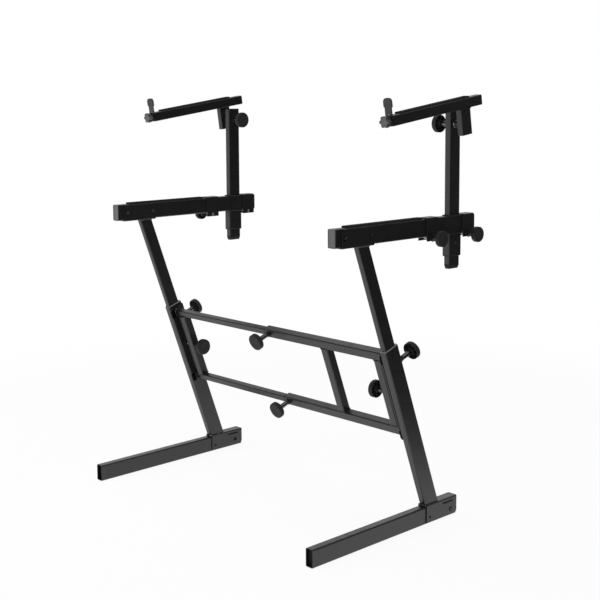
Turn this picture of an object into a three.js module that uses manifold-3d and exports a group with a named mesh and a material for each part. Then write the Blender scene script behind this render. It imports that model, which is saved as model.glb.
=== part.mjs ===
// Two-tier Z keyboard stand in black powder-coated steel tube, in millimetres.
// X runs across the stand, Y to the rear and Z up. The feet stand on Z = 0.
// Each side is a Z: a foot runs forward, a telescoping leg leans forward from the
// foot's rear end, and a level arm lies on the leg's top. A post at the arm's rear
// carries a smaller arm that tilts. Two telescoping crossbars join the sides.

import * as THREE from 'three';
import { mergeVertices } from 'three/addons/utils/BufferGeometryUtils.js';
import Module from 'manifold-3d';

const wasm = await Module();
wasm.setup();

// Clearances and cutting
const seatGap = 0.3;        // between pieces that seat on each other
const overrun = 5;          // how far a cutting body runs past what it cuts
const weldWithin = 0.0001;  // corners nearer than this are one corner

// Overall layout
const legSpacing = 897;     // between the middle planes of the two sides
const legTilt = THREE.MathUtils.degToRad(20);

// Wide tube of the feet and the lower arms
const wideTube = { width: 25, height: 47, wall: 1.5, corner: 3 };
const footLength = 539;
const footPlug = { recess: 10, skirt: 14, wall: 2 };

// Lower leg and the upper leg that slides in it
const outerLeg = { width: 21, depth: 50, wall: 1.5, corner: 2.5 };
const innerLeg = { width: 17, depth: 38.5, wall: 1.5, corner: 2 };
const outerLegLength = 463;
const innerLegSetback = 3.3;  // front of the upper leg behind the front of the lower one
const innerLegFoot = 240;     // lower end of the upper leg, along the leg

// Saddles that hold a foot or an arm on the leg
const saddlePlate = 2.5;
const saddleCorner = 2;
const footSaddle = { length: 123, lift: 1.5, chamfer: 6 };
const armSaddle = { front: 100, length: 111, drop: 2 };
const legFootY = footLength - footSaddle.length;   // front of the leg where it stands on the foot

// Lower arms
const armFront = 79;
const armLength = 526;
const armBottom = 767;
const armPad = { width: 19, height: 4, corner: 1.5, front: 42, rear: 12 };

// Post, the sleeve that it slides in, and the guides of plastic
const post = { width: 18.5, depth: 42, wall: 1.5, corner: 2 };
const sleeve = { width: 24.5, depth: 49.5, wall: 1.5, corner: 2.5 };
const postInset = 78;         // middle of the post ahead of the arm's rear end
const postY = armFront + armLength - postInset;
const postBottom = 685;
const postTop = 1088;
const sleeveBottom = 709;
const sleeveLip = 2.5;        // how far the sleeve stands above the arm
const guideFlange = 2.5;
const guideDepth = 26;
const postFootCap = { height: 12, straight: 3, taper: 3, skirt: 14, wall: 1.6 };
const postHeadCap = { height: 2, skirt: 12 };

// Caps in the ends of the lower arms and of the tilting arms
const endCap = { flange: 2, skirt: 16, wall: 1.8, dish: 1.2, dishRim: 2.6 };

// Crossbars: thick ones on the right-hand side, thin ones that slide in them
const thickBar = { size: 25, wall: 1.5, corner: 2 };
const thinBar = { size: 18.5, wall: 1.5, corner: 1.6 };
const lowerBar = 216.5;       // middle of the lower crossbar, along the leg
const upperBarDrop = 24.5;    // middle of the upper one below the lower leg's top
const upperBar = outerLegLength - upperBarDrop;
const crossbarHeights = [lowerBar, upperBar];
const crossbarSetback = 12;   // front of the crossbars behind the front of the leg
const thickBarStart = -19;
const thinBarReach = 130;
const uprightGap = 15.2;      // between the flange plate and the frame's upright
const braceX = 212;
const flangePlate = { thickness: 3.5, below: 16, above: 19, corner: 3 };
const plateNotch = { height: 24, depth: 9 };
const barBush = { flange: 2, skirt: 8 };

// Clamp straps round each lower arm, one behind the sleeve and one ahead of it
const strap = { length: 45, plate: 2.5, drop: 11.5, corner: 2 };
const rearStrapInset = 4;     // rear strap ahead of the arm's rear end
const frontStrapAhead = 95;   // middle of the front strap ahead of the sleeve's middle

// Upper tier: arms that tilt on the posts
const tierTilt = THREE.MathUtils.degToRad(8.3);
const pivotDrop = 33;         // pivot below the post's top
const pivotZ = postTop - pivotDrop;
const tierArm = { width: 25, height: 27, wall: 1.5, corner: 2.5 };
const tierArmRise = 40;       // bottom of the tilting arm above its pivot
const tierArmAhead = 278;
const tierArmBehind = 68;
const tierEndPlate = 2.5;
const tierPad = { width: 19, height: 3.5, corner: 1.3, front: 30, length: 270 };
const stub = { width: 18, depth: 40, wall: 1.5, corner: 2, drop: 28 };
const tierArmOutset = 35;     // middle of the tilting arm outside the post's middle

// Front stop of each tilting arm
const stopPlate = { width: 22, thickness: 3, height: 68, corner: 6 };
const stopSlot = { below: 6, above: 12 };
const stopSleeve = { width: 25.5, wall: 1.6, height: 23, round: 9.5 };

// Knobs: a ribbed disc on a steel stud that screws through a welded boss
const stud = { radius: 4 };
const boss = { radius: 8, length: 7 };
const discThickness = 13;
const discEdge = 1.6;
const discWeb = 3.2;
const discRim = 2.8;
const discHub = { radius: 8, rise: 3 };
const discRib = { thickness: 1.6, count: 8, recess: 1 };
const discCrown = 0.8;
const largeDisc = 23.5;
const smallDisc = 20.5;
const legKnobDrop = 47.5;       // below the lower leg's top
const legKnobHeight = outerLegLength - legKnobDrop;
const sideKnobHeight = (lowerBar + upperBar) / 2;
const crossbarKnobX = -4;
const legKnobReach = 52;      // from the tube's face to the middle of the disc
const sideKnobReach = 33;
const crossbarKnobReach = 48.5;
const strapKnobReach = 30;
const tiltKnobReach = 38;
const lobedKnob = { radius: 13.9, lobe: 1.9, thickness: 11, edge: 1.2, lobes: 6 };
const lobedNeck = { radius: 8, length: 9 };
const studTipPast = 3;        // how far a stud stands past the last plate it crosses

// How finely the round forms are divided
const cornerSteps = 1;        // half as many as the facets of a corner
const discSteps = 16;
const rodSteps = 12;
const lobeSteps = 5;

// Materials
const coat = (shade) => new THREE.MeshStandardMaterial({ color: shade, roughness: 0.5, metalness: 0.25 });
const steelCoat = coat(0x1d1e1f);
const capPlastic = new THREE.MeshStandardMaterial({ color: 0x17181a, roughness: 0.55, metalness: 0 });
const knobPlastic = new THREE.MeshStandardMaterial({ color: 0x1a1b1c, roughness: 0.45, metalness: 0 });
const padRubber = new THREE.MeshStandardMaterial({ color: 0x141414, roughness: 0.85, metalness: 0 });
const stopRubber = new THREE.MeshStandardMaterial({ color: 0x47494b, roughness: 0.7, metalness: 0 });

// Solids from three.js geometry, and back
function solidOf(geometry) {
  const bare = geometry.index ? geometry.toNonIndexed() : geometry.clone();
  bare.deleteAttribute('normal');
  bare.deleteAttribute('uv');
  const welded = mergeVertices(bare, weldWithin);
  return new wasm.Manifold(new wasm.Mesh({
    numProp: 3,
    vertProperties: new Float32Array(welded.attributes.position.array),
    triVerts: new Uint32Array(welded.index.array),
  }));
}

function geometryOf(body) {
  const mesh = body.getMesh();
  const geometry = new THREE.BufferGeometry();
  geometry.setAttribute('position', new THREE.BufferAttribute(new Float32Array(mesh.vertProperties), 3));
  geometry.setIndex(new THREE.BufferAttribute(new Uint32Array(mesh.triVerts), 1));
  return geometry;
}

function join(bodies) {
  return bodies.reduce((whole, body) => whole.add(body));
}

function cut(body, tools) {
  return tools.reduce((rest, tool) => rest.subtract(tool), body);
}

// A rectangle with rounded corners about (x, y)
function roundedRectangle(width, height, corner, x = 0, y = 0) {
  const right = x + width / 2;
  const top = y + height / 2;
  const left = x - width / 2;
  const bottom = y - height / 2;
  const quarter = Math.PI / 2;
  const outline = new THREE.Shape();
  outline.absarc(right - corner, top - corner, corner, 0, quarter);
  outline.absarc(left + corner, top - corner, corner, quarter, 2 * quarter);
  outline.absarc(left + corner, bottom + corner, corner, 2 * quarter, 3 * quarter);
  outline.absarc(right - corner, bottom + corner, corner, 3 * quarter, 4 * quarter);
  return outline;
}

// Extrusion of an outline along Z, X or Y. Along X the outline's two directions are
// Y and Z, along Y they are X and Z, along Z they are X and Y.
function extrude(outline, axis, from, to) {
  const geometry = new THREE.ExtrudeGeometry(outline, {
    depth: to - from,
    bevelEnabled: false,
    curveSegments: cornerSteps,
  });
  geometry.translate(0, 0, from);
  if (axis === 'x') {
    geometry.rotateY(Math.PI / 2);
    geometry.rotateX(Math.PI / 2);
  }
  if (axis === 'y') {
    geometry.rotateX(Math.PI / 2);
    geometry.scale(1, -1, 1);
    flipWinding(geometry);
  }
  return solidOf(geometry);
}

// Turns every triangle over after a mirroring
function flipWinding(geometry) {
  const position = geometry.attributes.position.array;
  for (let start = 0; start < position.length; start += 9) {
    for (let k = 0; k < 3; k += 1) {
      const held = position[start + 3 + k];
      position[start + 3 + k] = position[start + 6 + k];
      position[start + 6 + k] = held;
    }
  }
}

function bar(width, height, corner, axis, from, to, x = 0, y = 0) {
  return extrude(roundedRectangle(width, height, corner, x, y), axis, from, to);
}

function rod(radius, axis, from, to, centre = [0, 0]) {
  const outline = new THREE.Shape();
  for (let step = 0; step < rodSteps; step += 1) {
    const turn = (2 * Math.PI * step) / rodSteps;
    const x = centre[0] + radius * Math.cos(turn);
    const y = centre[1] + radius * Math.sin(turn);
    if (step === 0) outline.moveTo(x, y);
    else outline.lineTo(x, y);
  }
  outline.closePath();
  return extrude(outline, axis, from, to);
}

function box(x, y, z) {
  const geometry = new THREE.BoxGeometry(x[1] - x[0], y[1] - y[0], z[1] - z[0]);
  geometry.translate((x[0] + x[1]) / 2, (y[0] + y[1]) / 2, (z[0] + z[1]) / 2);
  return solidOf(geometry);
}

// The same pair of ends whichever side it is measured on
function span(a, b) {
  return a < b ? [a, b] : [b, a];
}

function innerCorner(tube) {
  return Math.max(tube.corner - tube.wall, tube.wall / 2);
}

// A solid moved by a tilt about X and then by an offset
function leaned(body, tilt, offset = [0, 0, 0]) {
  return body.rotate([THREE.MathUtils.radToDeg(tilt), 0, 0]).translate(offset);
}

const stand = new THREE.Group();
const model = new THREE.Group();
stand.add(model);

function place(parent, name, body, material) {
  const mesh = new THREE.Mesh(geometryOf(body), material);
  mesh.name = name;
  parent.add(mesh);
  return mesh;
}

function group(parent, x, y, z, tilt = 0) {
  const frame = new THREE.Group();
  frame.position.set(x, y, z);
  frame.rotation.x = tilt;
  parent.add(frame);
  return frame;
}

// Knobs. A knob's own Z points away from the tube and its zero lies on the boss.
function roundKnob(radius, stem, tip) {
  const back = stem;
  const front = back + discThickness;
  const webBack = front - discWeb;
  const rimInside = radius - discRim;
  const profile = [
    [0, -tip],
    [stud.radius, -tip],
    [stud.radius, back - discHub.rise],
    [discHub.radius, back - discHub.rise],
    [discHub.radius, webBack],
    [rimInside, webBack],
    [rimInside, back],
    [radius - discEdge, back],
    [radius, back + discEdge],
    [radius, front - discEdge],
    [radius - discEdge, front],
    [0, front + discCrown],
  ].map(([r, z]) => new THREE.Vector2(r, z));
  const turned = new THREE.LatheGeometry(profile, discSteps);
  turned.rotateX(Math.PI / 2);
  const ribs = [];
  for (let k = 0; k < discRib.count; k += 1) {
    const rib = box(
      [discHub.radius - discRib.thickness, rimInside + discRim / 2],
      [-discRib.thickness / 2, discRib.thickness / 2],
      [back + discRib.recess, webBack + discWeb / 2],
    );
    ribs.push(rib.rotate([0, 0, (360 * (k + 0.5)) / discRib.count]));
  }
  return join([solidOf(turned), ...ribs]);
}

function lobedDisc(tip) {
  const outline = new THREE.Shape();
  const steps = lobedKnob.lobes * lobeSteps;
  for (let step = 0; step < steps; step += 1) {
    const turn = (2 * Math.PI * step) / steps;
    const radius = lobedKnob.radius + lobedKnob.lobe * Math.cos(lobedKnob.lobes * turn);
    const x = radius * Math.cos(turn);
    const y = radius * Math.sin(turn);
    if (step === 0) outline.moveTo(x, y);
    else outline.lineTo(x, y);
  }
  outline.closePath();
  const head = new THREE.ExtrudeGeometry(outline, {
    depth: lobedKnob.thickness - 2 * lobedKnob.edge,
    bevelEnabled: true,
    bevelSegments: 1,
    bevelSize: lobedKnob.edge,
    bevelOffset: -lobedKnob.edge,
    bevelThickness: lobedKnob.edge,
  });
  head.translate(0, 0, lobedNeck.length + lobedKnob.edge);
  const middle = lobedNeck.length + lobedKnob.thickness / 2;
  return join([
    solidOf(head),
    rod(lobedNeck.radius, 'z', 0, middle),
    rod(stud.radius, 'z', -tip, middle),
  ]);
}

// Seats a knob with its Z along a direction
function placeKnob(parent, name, body, position, direction) {
  const mesh = place(parent, name, body, knobPlastic);
  mesh.position.set(...position);
  mesh.quaternion.setFromUnitVectors(new THREE.Vector3(0, 0, 1), new THREE.Vector3(...direction));
  return mesh;
}

// Distance from the boss to the back of the disc, for a disc whose middle lies at reach
function stemFor(reach) {
  return reach - boss.length - discThickness / 2;
}

// A cap with a dished flange, pushed into the end of a tube. It closes the end that
// points along -Y at Y = 0.
function tubeCap(tube) {
  const fit = tube.wall + seatGap;
  const width = tube.width - 2 * fit;
  const height = tube.height - 2 * fit;
  const corner = innerCorner(tube);
  const flange = bar(tube.width, tube.height, tube.corner, 'y', -endCap.flange - seatGap, -seatGap);
  const skirt = bar(width, height, corner, 'y', -endCap.flange, endCap.skirt);
  const hollow = bar(
    width - 2 * endCap.wall,
    height - 2 * endCap.wall,
    corner,
    'y',
    0,
    endCap.skirt + overrun,
  );
  const dish = bar(
    tube.width - 2 * endCap.dishRim,
    tube.height - 2 * endCap.dishRim,
    corner,
    'y',
    -endCap.flange - seatGap - overrun,
    -endCap.flange - seatGap + endCap.dish,
  );
  return cut(join([flange, skirt]), [hollow, dish]);
}

function placeCap(parent, name, body, y, z, facing) {
  const cap = place(parent, name, body, capPlastic);
  cap.position.set(0, y, z);
  if (facing > 0) cap.rotation.z = Math.PI;
  return cap;
}

// A plug that sits inside the end of a tube, so that the tube's wall stands round it.
// The tube's end lies at Y = 0 and the tube runs along +Y.
function sunkPlug(tube) {
  const fit = tube.wall + seatGap;
  const width = tube.width - 2 * fit;
  const height = tube.height - 2 * fit;
  const corner = innerCorner(tube);
  const end = footPlug.recess + footPlug.skirt;
  const body = bar(width, height, corner, 'y', footPlug.recess, end);
  const hollow = bar(
    width - 2 * footPlug.wall,
    height - 2 * footPlug.wall,
    corner,
    'y',
    footPlug.recess + footPlug.wall,
    end + overrun,
  );
  return cut(body, [hollow]);
}

// A guide of plastic: a flange on the end of an outer tube and a lining inside it,
// round an inner tube. The opening lies where the inner tube runs.
function guideRing(outer, inner, innerY, depth) {
  const fit = outer.wall + seatGap;
  const flange = bar(
    outer.width,
    outer.depth,
    outer.corner,
    'z',
    seatGap,
    seatGap + guideFlange,
    0,
    outer.depth / 2,
  );
  const lining = bar(
    outer.width - 2 * fit,
    outer.depth - 2 * fit,
    innerCorner(outer),
    'z',
    -depth,
    guideFlange,
    0,
    outer.depth / 2,
  );
  const opening = bar(
    inner.width + 2 * seatGap,
    inner.depth + 2 * seatGap,
    inner.corner,
    'z',
    -depth - overrun,
    seatGap + guideFlange + overrun,
    0,
    innerY,
  );
  return cut(join([flange, lining]), [opening]);
}

// A U of plate round three faces of the wide tube. Its web lies at Z = 0 and below,
// its sides run up to the height given, and it runs along Y.
function saddle(length, height) {
  const inside = wideTube.width + 2 * seatGap;
  const outside = inside + 2 * saddlePlate;
  const body = bar(
    outside,
    height + saddlePlate + saddleCorner,
    saddleCorner,
    'y',
    0,
    length,
    0,
    (height - saddlePlate + saddleCorner) / 2,
  );
  const room = bar(
    inside,
    height + 2 * overrun,
    saddleCorner / 2,
    'y',
    -overrun,
    length + overrun,
    0,
    height / 2 + overrun,
  );
  const top = box(
    [-outside, outside],
    [-overrun, length + overrun],
    [height, height + saddleCorner + overrun],
  );
  return cut(body, [room, top]);
}

// Foot of one side
function addFoot(side, name) {
  const frame = group(model, side * legSpacing / 2, 0, wideTube.height / 2);
  const tube = cut(
    bar(wideTube.width, wideTube.height, wideTube.corner, 'y', 0, footLength),
    [
      bar(
        wideTube.width - 2 * wideTube.wall,
        wideTube.height - 2 * wideTube.wall,
        innerCorner(wideTube),
        'y',
        -overrun,
        footLength + overrun,
      ),
    ],
  );
  place(frame, `foot_tube_${name}`, tube, steelCoat);
  placeCap(frame, `foot_cap_front_${name}`, sunkPlug(wideTube), 0, 0, -1);
  placeCap(frame, `foot_cap_rear_${name}`, sunkPlug(wideTube), footLength, 0, 1);
}

const webTop = wideTube.height + seatGap + saddlePlate;
const legBase = [0, legFootY, webTop];
const innerLegMiddle = innerLegSetback + innerLeg.depth / 2;

// Holes that a knob's stud runs through, with its clearance
const studHole = stud.radius + seatGap;

// Lower leg, welded on the saddle that sits over the foot
function addLowerLeg(side, name) {
  const frame = group(model, side * legSpacing / 2, ...legBase.slice(1));
  const wall = outerLeg.wall;
  const middle = outerLeg.depth / 2;
  const sunk = outerLeg.depth;
  const leg = cut(
    bar(outerLeg.width, outerLeg.depth, outerLeg.corner, 'z', -sunk, outerLegLength, 0, middle),
    [
      bar(
        outerLeg.width - 2 * wall,
        outerLeg.depth - 2 * wall,
        innerCorner(outerLeg),
        'z',
        -sunk - overrun,
        outerLegLength + overrun,
        0,
        middle,
      ),
    ],
  );
  const bossEnd = outerLeg.depth + boss.length;
  const rearBoss = rod(boss.radius, 'y', outerLeg.depth - wall / 2, bossEnd, [0, legKnobHeight]);
  const rearHole = rod(studHole, 'y', middle, bossEnd + overrun, [0, legKnobHeight]);
  const inward = span(0, -side * (outerLeg.width / 2 + overrun));
  const sideHole = rod(studHole, 'x', ...inward, [crossbarSetback + thickBar.size / 2, sideKnobHeight]);
  const tube = leaned(cut(leg.add(rearBoss), [rearHole, sideHole]), legTilt);
  const reach = outerLeg.depth * 2;
  const underWeb = box([-reach, reach], [-reach, reach + sunk], [-reach, -saddlePlate / 2]);
  const height = wideTube.height - footSaddle.lift + seatGap;
  const plates = saddle(footSaddle.length, height)
    .rotate([0, 180, 0])
    .translate([0, 0, -saddlePlate]);
  const corner = footSaddle.chamfer;
  const chamferAt = [footSaddle.length, -saddlePlate - height];
  const chamfer = box([-reach, reach], [-corner, corner], [-corner, corner])
    .rotate([45, 0, 0])
    .translate([0, ...chamferAt]);
  const body = join([tube.subtract(underWeb), plates.subtract(chamfer)]);
  place(frame, `leg_lower_${name}`, body, steelCoat);

  const axis = group(frame, 0, 0, 0, legTilt);
  const guide = place(
    axis,
    `leg_guide_${name}`,
    guideRing(outerLeg, innerLeg, innerLegMiddle, guideDepth),
    capPlastic,
  );
  guide.position.z = outerLegLength;
  const tip = bossEnd - innerLegSetback - innerLeg.depth - seatGap;
  placeKnob(
    axis,
    `knob_leg_rear_${name}`,
    roundKnob(largeDisc, stemFor(legKnobReach), tip),
    [0, bossEnd, legKnobHeight],
    [0, 1, 0],
  );
}

// Crossbar frame of one side, in the slope of the legs. Its flange plate lies on the
// inner face of the leg, and an upright stands between the two crossbars.
const legInnerX = legSpacing / 2 - outerLeg.width / 2;
const plateX = legInnerX - seatGap;
const uprightOuterX = plateX - flangePlate.thickness - uprightGap;
const uprightX = uprightOuterX - thickBar.size / 2;
const crossbarMiddle = crossbarSetback + thickBar.size / 2;

function squareTube(tube, axis, from, to, u, v) {
  return bar(tube.size, tube.size, tube.corner, axis, from, to, u, v);
}

function squareBore(tube, axis, from, to, u, v) {
  const size = tube.size - 2 * tube.wall;
  return bar(size, size, innerCorner(tube), axis, from, to, u, v);
}

function addCrossbarFrame(side, name) {
  const frame = group(model, ...legBase, legTilt);
  const crossbar = side > 0 ? thickBar : thinBar;
  const innerEnd = side > 0 ? thickBarStart : thinBarReach;
  const plateInner = side * (plateX - flangePlate.thickness);
  const weld = side * flangePlate.thickness / 2;
  const solids = [];
  const bores = [];
  for (const height of crossbarHeights) {
    solids.push(squareTube(crossbar, 'x', ...span(innerEnd, plateInner + weld), crossbarMiddle, height));
    const openEnd = innerEnd - side * overrun;
    bores.push(squareBore(crossbar, 'x', ...span(openEnd, plateInner), crossbarMiddle, height));
  }
  const between = [lowerBar, upperBar];
  solids.push(squareTube(thickBar, 'z', ...between, side * uprightX, crossbarMiddle));
  const clear = crossbar.size / 2;
  const hollow = [lowerBar + clear, upperBar - clear];
  bores.push(squareBore(thickBar, 'z', ...hollow, side * uprightX, crossbarMiddle));
  if (side > 0) {
    solids.push(squareTube(thickBar, 'z', ...between, braceX, crossbarMiddle));
    bores.push(squareBore(thickBar, 'z', ...between, braceX, crossbarMiddle));
    for (const height of crossbarHeights) {
      solids.push(rod(
        boss.radius,
        'y',
        crossbarSetback - boss.length,
        crossbarSetback + thickBar.wall / 2,
        [crossbarKnobX, height],
      ));
      bores.push(rod(
        studHole,
        'y',
        crossbarSetback - boss.length - overrun,
        crossbarMiddle,
        [crossbarKnobX, height],
      ));
    }
  }
  const plateBottom = lowerBar - flangePlate.below;
  const plateTop = upperBar + flangePlate.above;
  solids.push(bar(
    outerLeg.depth,
    plateTop - plateBottom,
    flangePlate.corner,
    'x',
    ...span(plateInner, side * plateX),
    outerLeg.depth / 2,
    (plateTop + plateBottom) / 2,
  ));
  for (const height of crossbarHeights) {
    bores.push(box(
      span(side * (plateX + overrun), plateInner - side * overrun),
      [-overrun, plateNotch.depth],
      [-plateNotch.height / 2, plateNotch.height / 2].map((end) => height + end),
    ));
  }
  const bossInner = side * (uprightX - thickBar.size / 2 - boss.length);
  const bossOuter = side * (uprightX - thickBar.size / 2 + thickBar.wall / 2);
  solids.push(rod(boss.radius, 'x', ...span(bossInner, bossOuter), [crossbarMiddle, sideKnobHeight]));
  const through = span(bossInner - side * overrun, side * (plateX + overrun));
  bores.push(rod(studHole, 'x', ...through, [crossbarMiddle, sideKnobHeight]));
  place(frame, `crossbar_frame_${name}`, cut(join(solids), bores), steelCoat);

  const innerLegFace = legSpacing / 2 - innerLeg.width / 2 - seatGap;
  placeKnob(
    frame,
    `knob_leg_side_${name}`,
    roundKnob(largeDisc, stemFor(sideKnobReach), innerLegFace - Math.abs(bossInner)),
    [bossInner, crossbarMiddle, sideKnobHeight],
    [-side, 0, 0],
  );
  return frame;
}

// Plastic bush in the open end of a thick crossbar, round the thin one
function addCrossbarBush(frame, name, height) {
  const size = thickBar.size - 2 * (thickBar.wall + seatGap);
  const flangeEnd = thickBarStart - seatGap;
  const skirtFrom = thickBarStart - barBush.flange;
  const skirtTo = thickBarStart + barBush.skirt;
  const flange = squareTube(thickBar, 'x', flangeEnd - barBush.flange, flangeEnd, 0, 0);
  const skirt = bar(size, size, innerCorner(thickBar), 'x', skirtFrom, skirtTo);
  const opening = bar(
    thinBar.size + 2 * seatGap,
    thinBar.size + 2 * seatGap,
    thinBar.corner,
    'x',
    skirtFrom - overrun,
    skirtTo + overrun,
  );
  const bush = place(frame, `crossbar_bush_${name}`, cut(join([flange, skirt]), [opening]), capPlastic);
  bush.position.set(0, crossbarMiddle, height);
}

function addCrossbarKnob(frame, name, height) {
  const seat = crossbarSetback - boss.length;
  const tip = crossbarMiddle - thinBar.size / 2 - seat - seatGap;
  placeKnob(
    frame,
    `knob_crossbar_${name}`,
    roundKnob(largeDisc, stemFor(crossbarKnobReach), tip),
    [crossbarKnobX, seat, height],
    [0, -1, 0],
  );
}

// Upper leg with the saddle that carries the lower arm
function addUpperLeg(side, name) {
  const frame = group(model, side * legSpacing / 2, ...legBase.slice(1));
  const webBottom = armBottom - seatGap - saddlePlate - webTop;
  const reach = armBottom;
  const leg = cut(
    bar(innerLeg.width, innerLeg.depth, innerLeg.corner, 'z', innerLegFoot, reach, 0, innerLegMiddle),
    [
      bar(
        innerLeg.width - 2 * innerLeg.wall,
        innerLeg.depth - 2 * innerLeg.wall,
        innerCorner(innerLeg),
        'z',
        innerLegFoot - overrun,
        reach + overrun,
        0,
        innerLegMiddle,
      ),
    ],
  );
  const above = box([-reach, reach], [-reach, reach], [webBottom + saddlePlate / 2, 2 * reach]);
  const plates = saddle(armSaddle.length, wideTube.height - armSaddle.drop)
    .translate([0, armSaddle.front - legFootY, webBottom + saddlePlate]);
  const body = join([leaned(leg, legTilt).subtract(above), plates]);
  place(frame, `leg_upper_${name}`, body, steelCoat);
}

// Lower arm with the sleeve of the post welded through it
function addArm(side, name) {
  const x = side * legSpacing / 2;
  const frame = group(model, x, armFront, armBottom + wideTube.height / 2);
  const halfHeight = wideTube.height / 2;
  const sleeveY = postY - armFront;
  const sleeveFront = sleeveY - sleeve.depth / 2;
  const sleeveRear = sleeveY + sleeve.depth / 2;
  const boreWidth = wideTube.width - 2 * wideTube.wall;
  const boreHeight = wideTube.height - 2 * wideTube.wall;
  const boreCorner = innerCorner(wideTube);
  const low = sleeveBottom - armBottom - halfHeight;
  const high = halfHeight + sleeveLip;
  const body = cut(
    join([
      bar(wideTube.width, wideTube.height, wideTube.corner, 'y', 0, armLength),
      bar(sleeve.width, sleeve.depth, sleeve.corner, 'z', low, high, 0, sleeveY),
    ]),
    [
      bar(boreWidth, boreHeight, boreCorner, 'y', -overrun, sleeveFront),
      bar(boreWidth, boreHeight, boreCorner, 'y', sleeveRear, armLength + overrun),
      bar(
        sleeve.width - 2 * sleeve.wall,
        sleeve.depth - 2 * sleeve.wall,
        innerCorner(sleeve),
        'z',
        low - overrun,
        high + overrun,
        0,
        sleeveY,
      ),
    ],
  );
  place(frame, `arm_${name}`, body, steelCoat);
  placeCap(frame, `arm_cap_front_${name}`, tubeCap(wideTube), 0, 0, -1);
  placeCap(frame, `arm_cap_rear_${name}`, tubeCap(wideTube), armLength, 0, 1);

  const frontStrapMiddle = sleeveY - frontStrapAhead;
  const pad = bar(
    armPad.width,
    armPad.height,
    armPad.corner,
    'y',
    armPad.front,
    frontStrapMiddle - strap.length / 2 - armPad.rear,
    0,
    halfHeight + seatGap + armPad.height / 2,
  );
  place(frame, `arm_pad_${name}`, pad, padRubber);

  const guide = place(
    frame,
    `sleeve_guide_${name}`,
    guideRing(sleeve, post, sleeve.depth / 2, guideDepth),
    capPlastic,
  );
  guide.position.set(0, sleeveY + sleeve.depth / 2, low);
  guide.rotation.x = Math.PI;

  addStrap(frame, side, `strap_front_${name}`, frontStrapMiddle);
  addStrap(frame, side, `strap_${name}`, armLength - rearStrapInset - strap.length / 2);
}

// Strap over the arm, drawn together by a knob whose stud runs below the arm
function addStrap(frame, side, name, middle) {
  const halfHeight = wideTube.height / 2;
  const inside = wideTube.width + 2 * seatGap;
  const outside = inside + 2 * strap.plate;
  const from = middle - strap.length / 2;
  const to = middle + strap.length / 2;
  const top = halfHeight + seatGap + strap.plate;
  const bottom = -halfHeight - strap.drop;
  const studZ = -halfHeight - seatGap - stud.radius;
  const bossEnd = side * (outside / 2 + boss.length);
  const farEnd = -side * (outside / 2 + studTipPast);
  const roomTop = halfHeight + seatGap;
  const room = bar(
    inside,
    roomTop - bottom + overrun,
    strap.corner / 2,
    'y',
    from - overrun,
    to + overrun,
    0,
    (roomTop + bottom - overrun) / 2,
  );
  const body = cut(
    join([
      bar(outside, top - bottom, strap.corner, 'y', from, to, 0, (top + bottom) / 2),
      rod(boss.radius, 'x', ...span(side * (outside - strap.plate) / 2, bossEnd), [middle, studZ]),
    ]),
    [room, rod(studHole, 'x', ...span(bossEnd + side * overrun, farEnd - side * overrun), [middle, studZ])],
  );
  place(frame, `arm_${name}`, body, steelCoat);
  placeKnob(
    frame,
    `knob_${name}`,
    roundKnob(smallDisc, stemFor(strapKnobReach), Math.abs(bossEnd - farEnd)),
    [bossEnd, middle, studZ],
    [side, 0, 0],
  );
}

// Post with its caps
function addPost(side, name) {
  const frame = group(model, side * legSpacing / 2, postY, 0);
  const boreWidth = post.width - 2 * post.wall;
  const boreDepth = post.depth - 2 * post.wall;
  const corner = innerCorner(post);
  const bossEnd = -side * (post.width / 2 + boss.length);
  const body = cut(
    join([
      bar(post.width, post.depth, post.corner, 'z', postBottom, postTop),
      rod(boss.radius, 'x', ...span(-side * (post.width - post.wall) / 2, bossEnd), [0, pivotZ]),
    ]),
    [
      bar(boreWidth, boreDepth, corner, 'z', postBottom - overrun, postTop + overrun),
      rod(studHole, 'x', ...span(bossEnd - side * overrun, side * (post.width / 2 + overrun)), [0, pivotZ]),
    ],
  );
  place(frame, `post_${name}`, body, steelCoat);

  const plugWidth = boreWidth - 2 * seatGap;
  const plugDepth = boreDepth - 2 * seatGap;
  const skirt = cut(
    bar(plugWidth, plugDepth, corner, 'z', -seatGap - postFootCap.taper, postFootCap.skirt),
    [
      bar(
        plugWidth - 2 * postFootCap.wall,
        plugDepth - 2 * postFootCap.wall,
        corner,
        'z',
        0,
        postFootCap.skirt + overrun,
      ),
    ],
  );
  const foot = place(frame, `post_cap_bottom_${name}`, join([bevelledFoot(), skirt]), capPlastic);
  foot.position.z = postBottom;

  const head = join([
    bar(post.width, post.depth, post.corner, 'z', seatGap, seatGap + postHeadCap.height),
    bar(plugWidth, plugDepth, corner, 'z', -postHeadCap.skirt, postHeadCap.height),
  ]);
  place(frame, `post_cap_top_${name}`, head, capPlastic).position.z = postTop;
}

// The lower end of a post's cap: as wide as the post above, drawn in below
function bevelledFoot() {
  const straight = postFootCap.straight;
  const outline = roundedRectangle(post.width, post.depth, post.corner);
  const upper = extrude(outline, 'z', -seatGap - straight, -seatGap);
  const ring = outline.extractPoints(cornerSteps).shape;
  const shrinkX = (post.width - 2 * postFootCap.taper) / post.width;
  const shrinkY = (post.depth - 2 * postFootCap.taper) / post.depth;
  const points = [];
  for (const point of ring) {
    points.push(new THREE.Vector3(point.x, point.y, -seatGap - straight));
    points.push(new THREE.Vector3(point.x * shrinkX, point.y * shrinkY, -seatGap - postFootCap.height));
  }
  return join([upper, hullOf(points)]);
}

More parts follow.
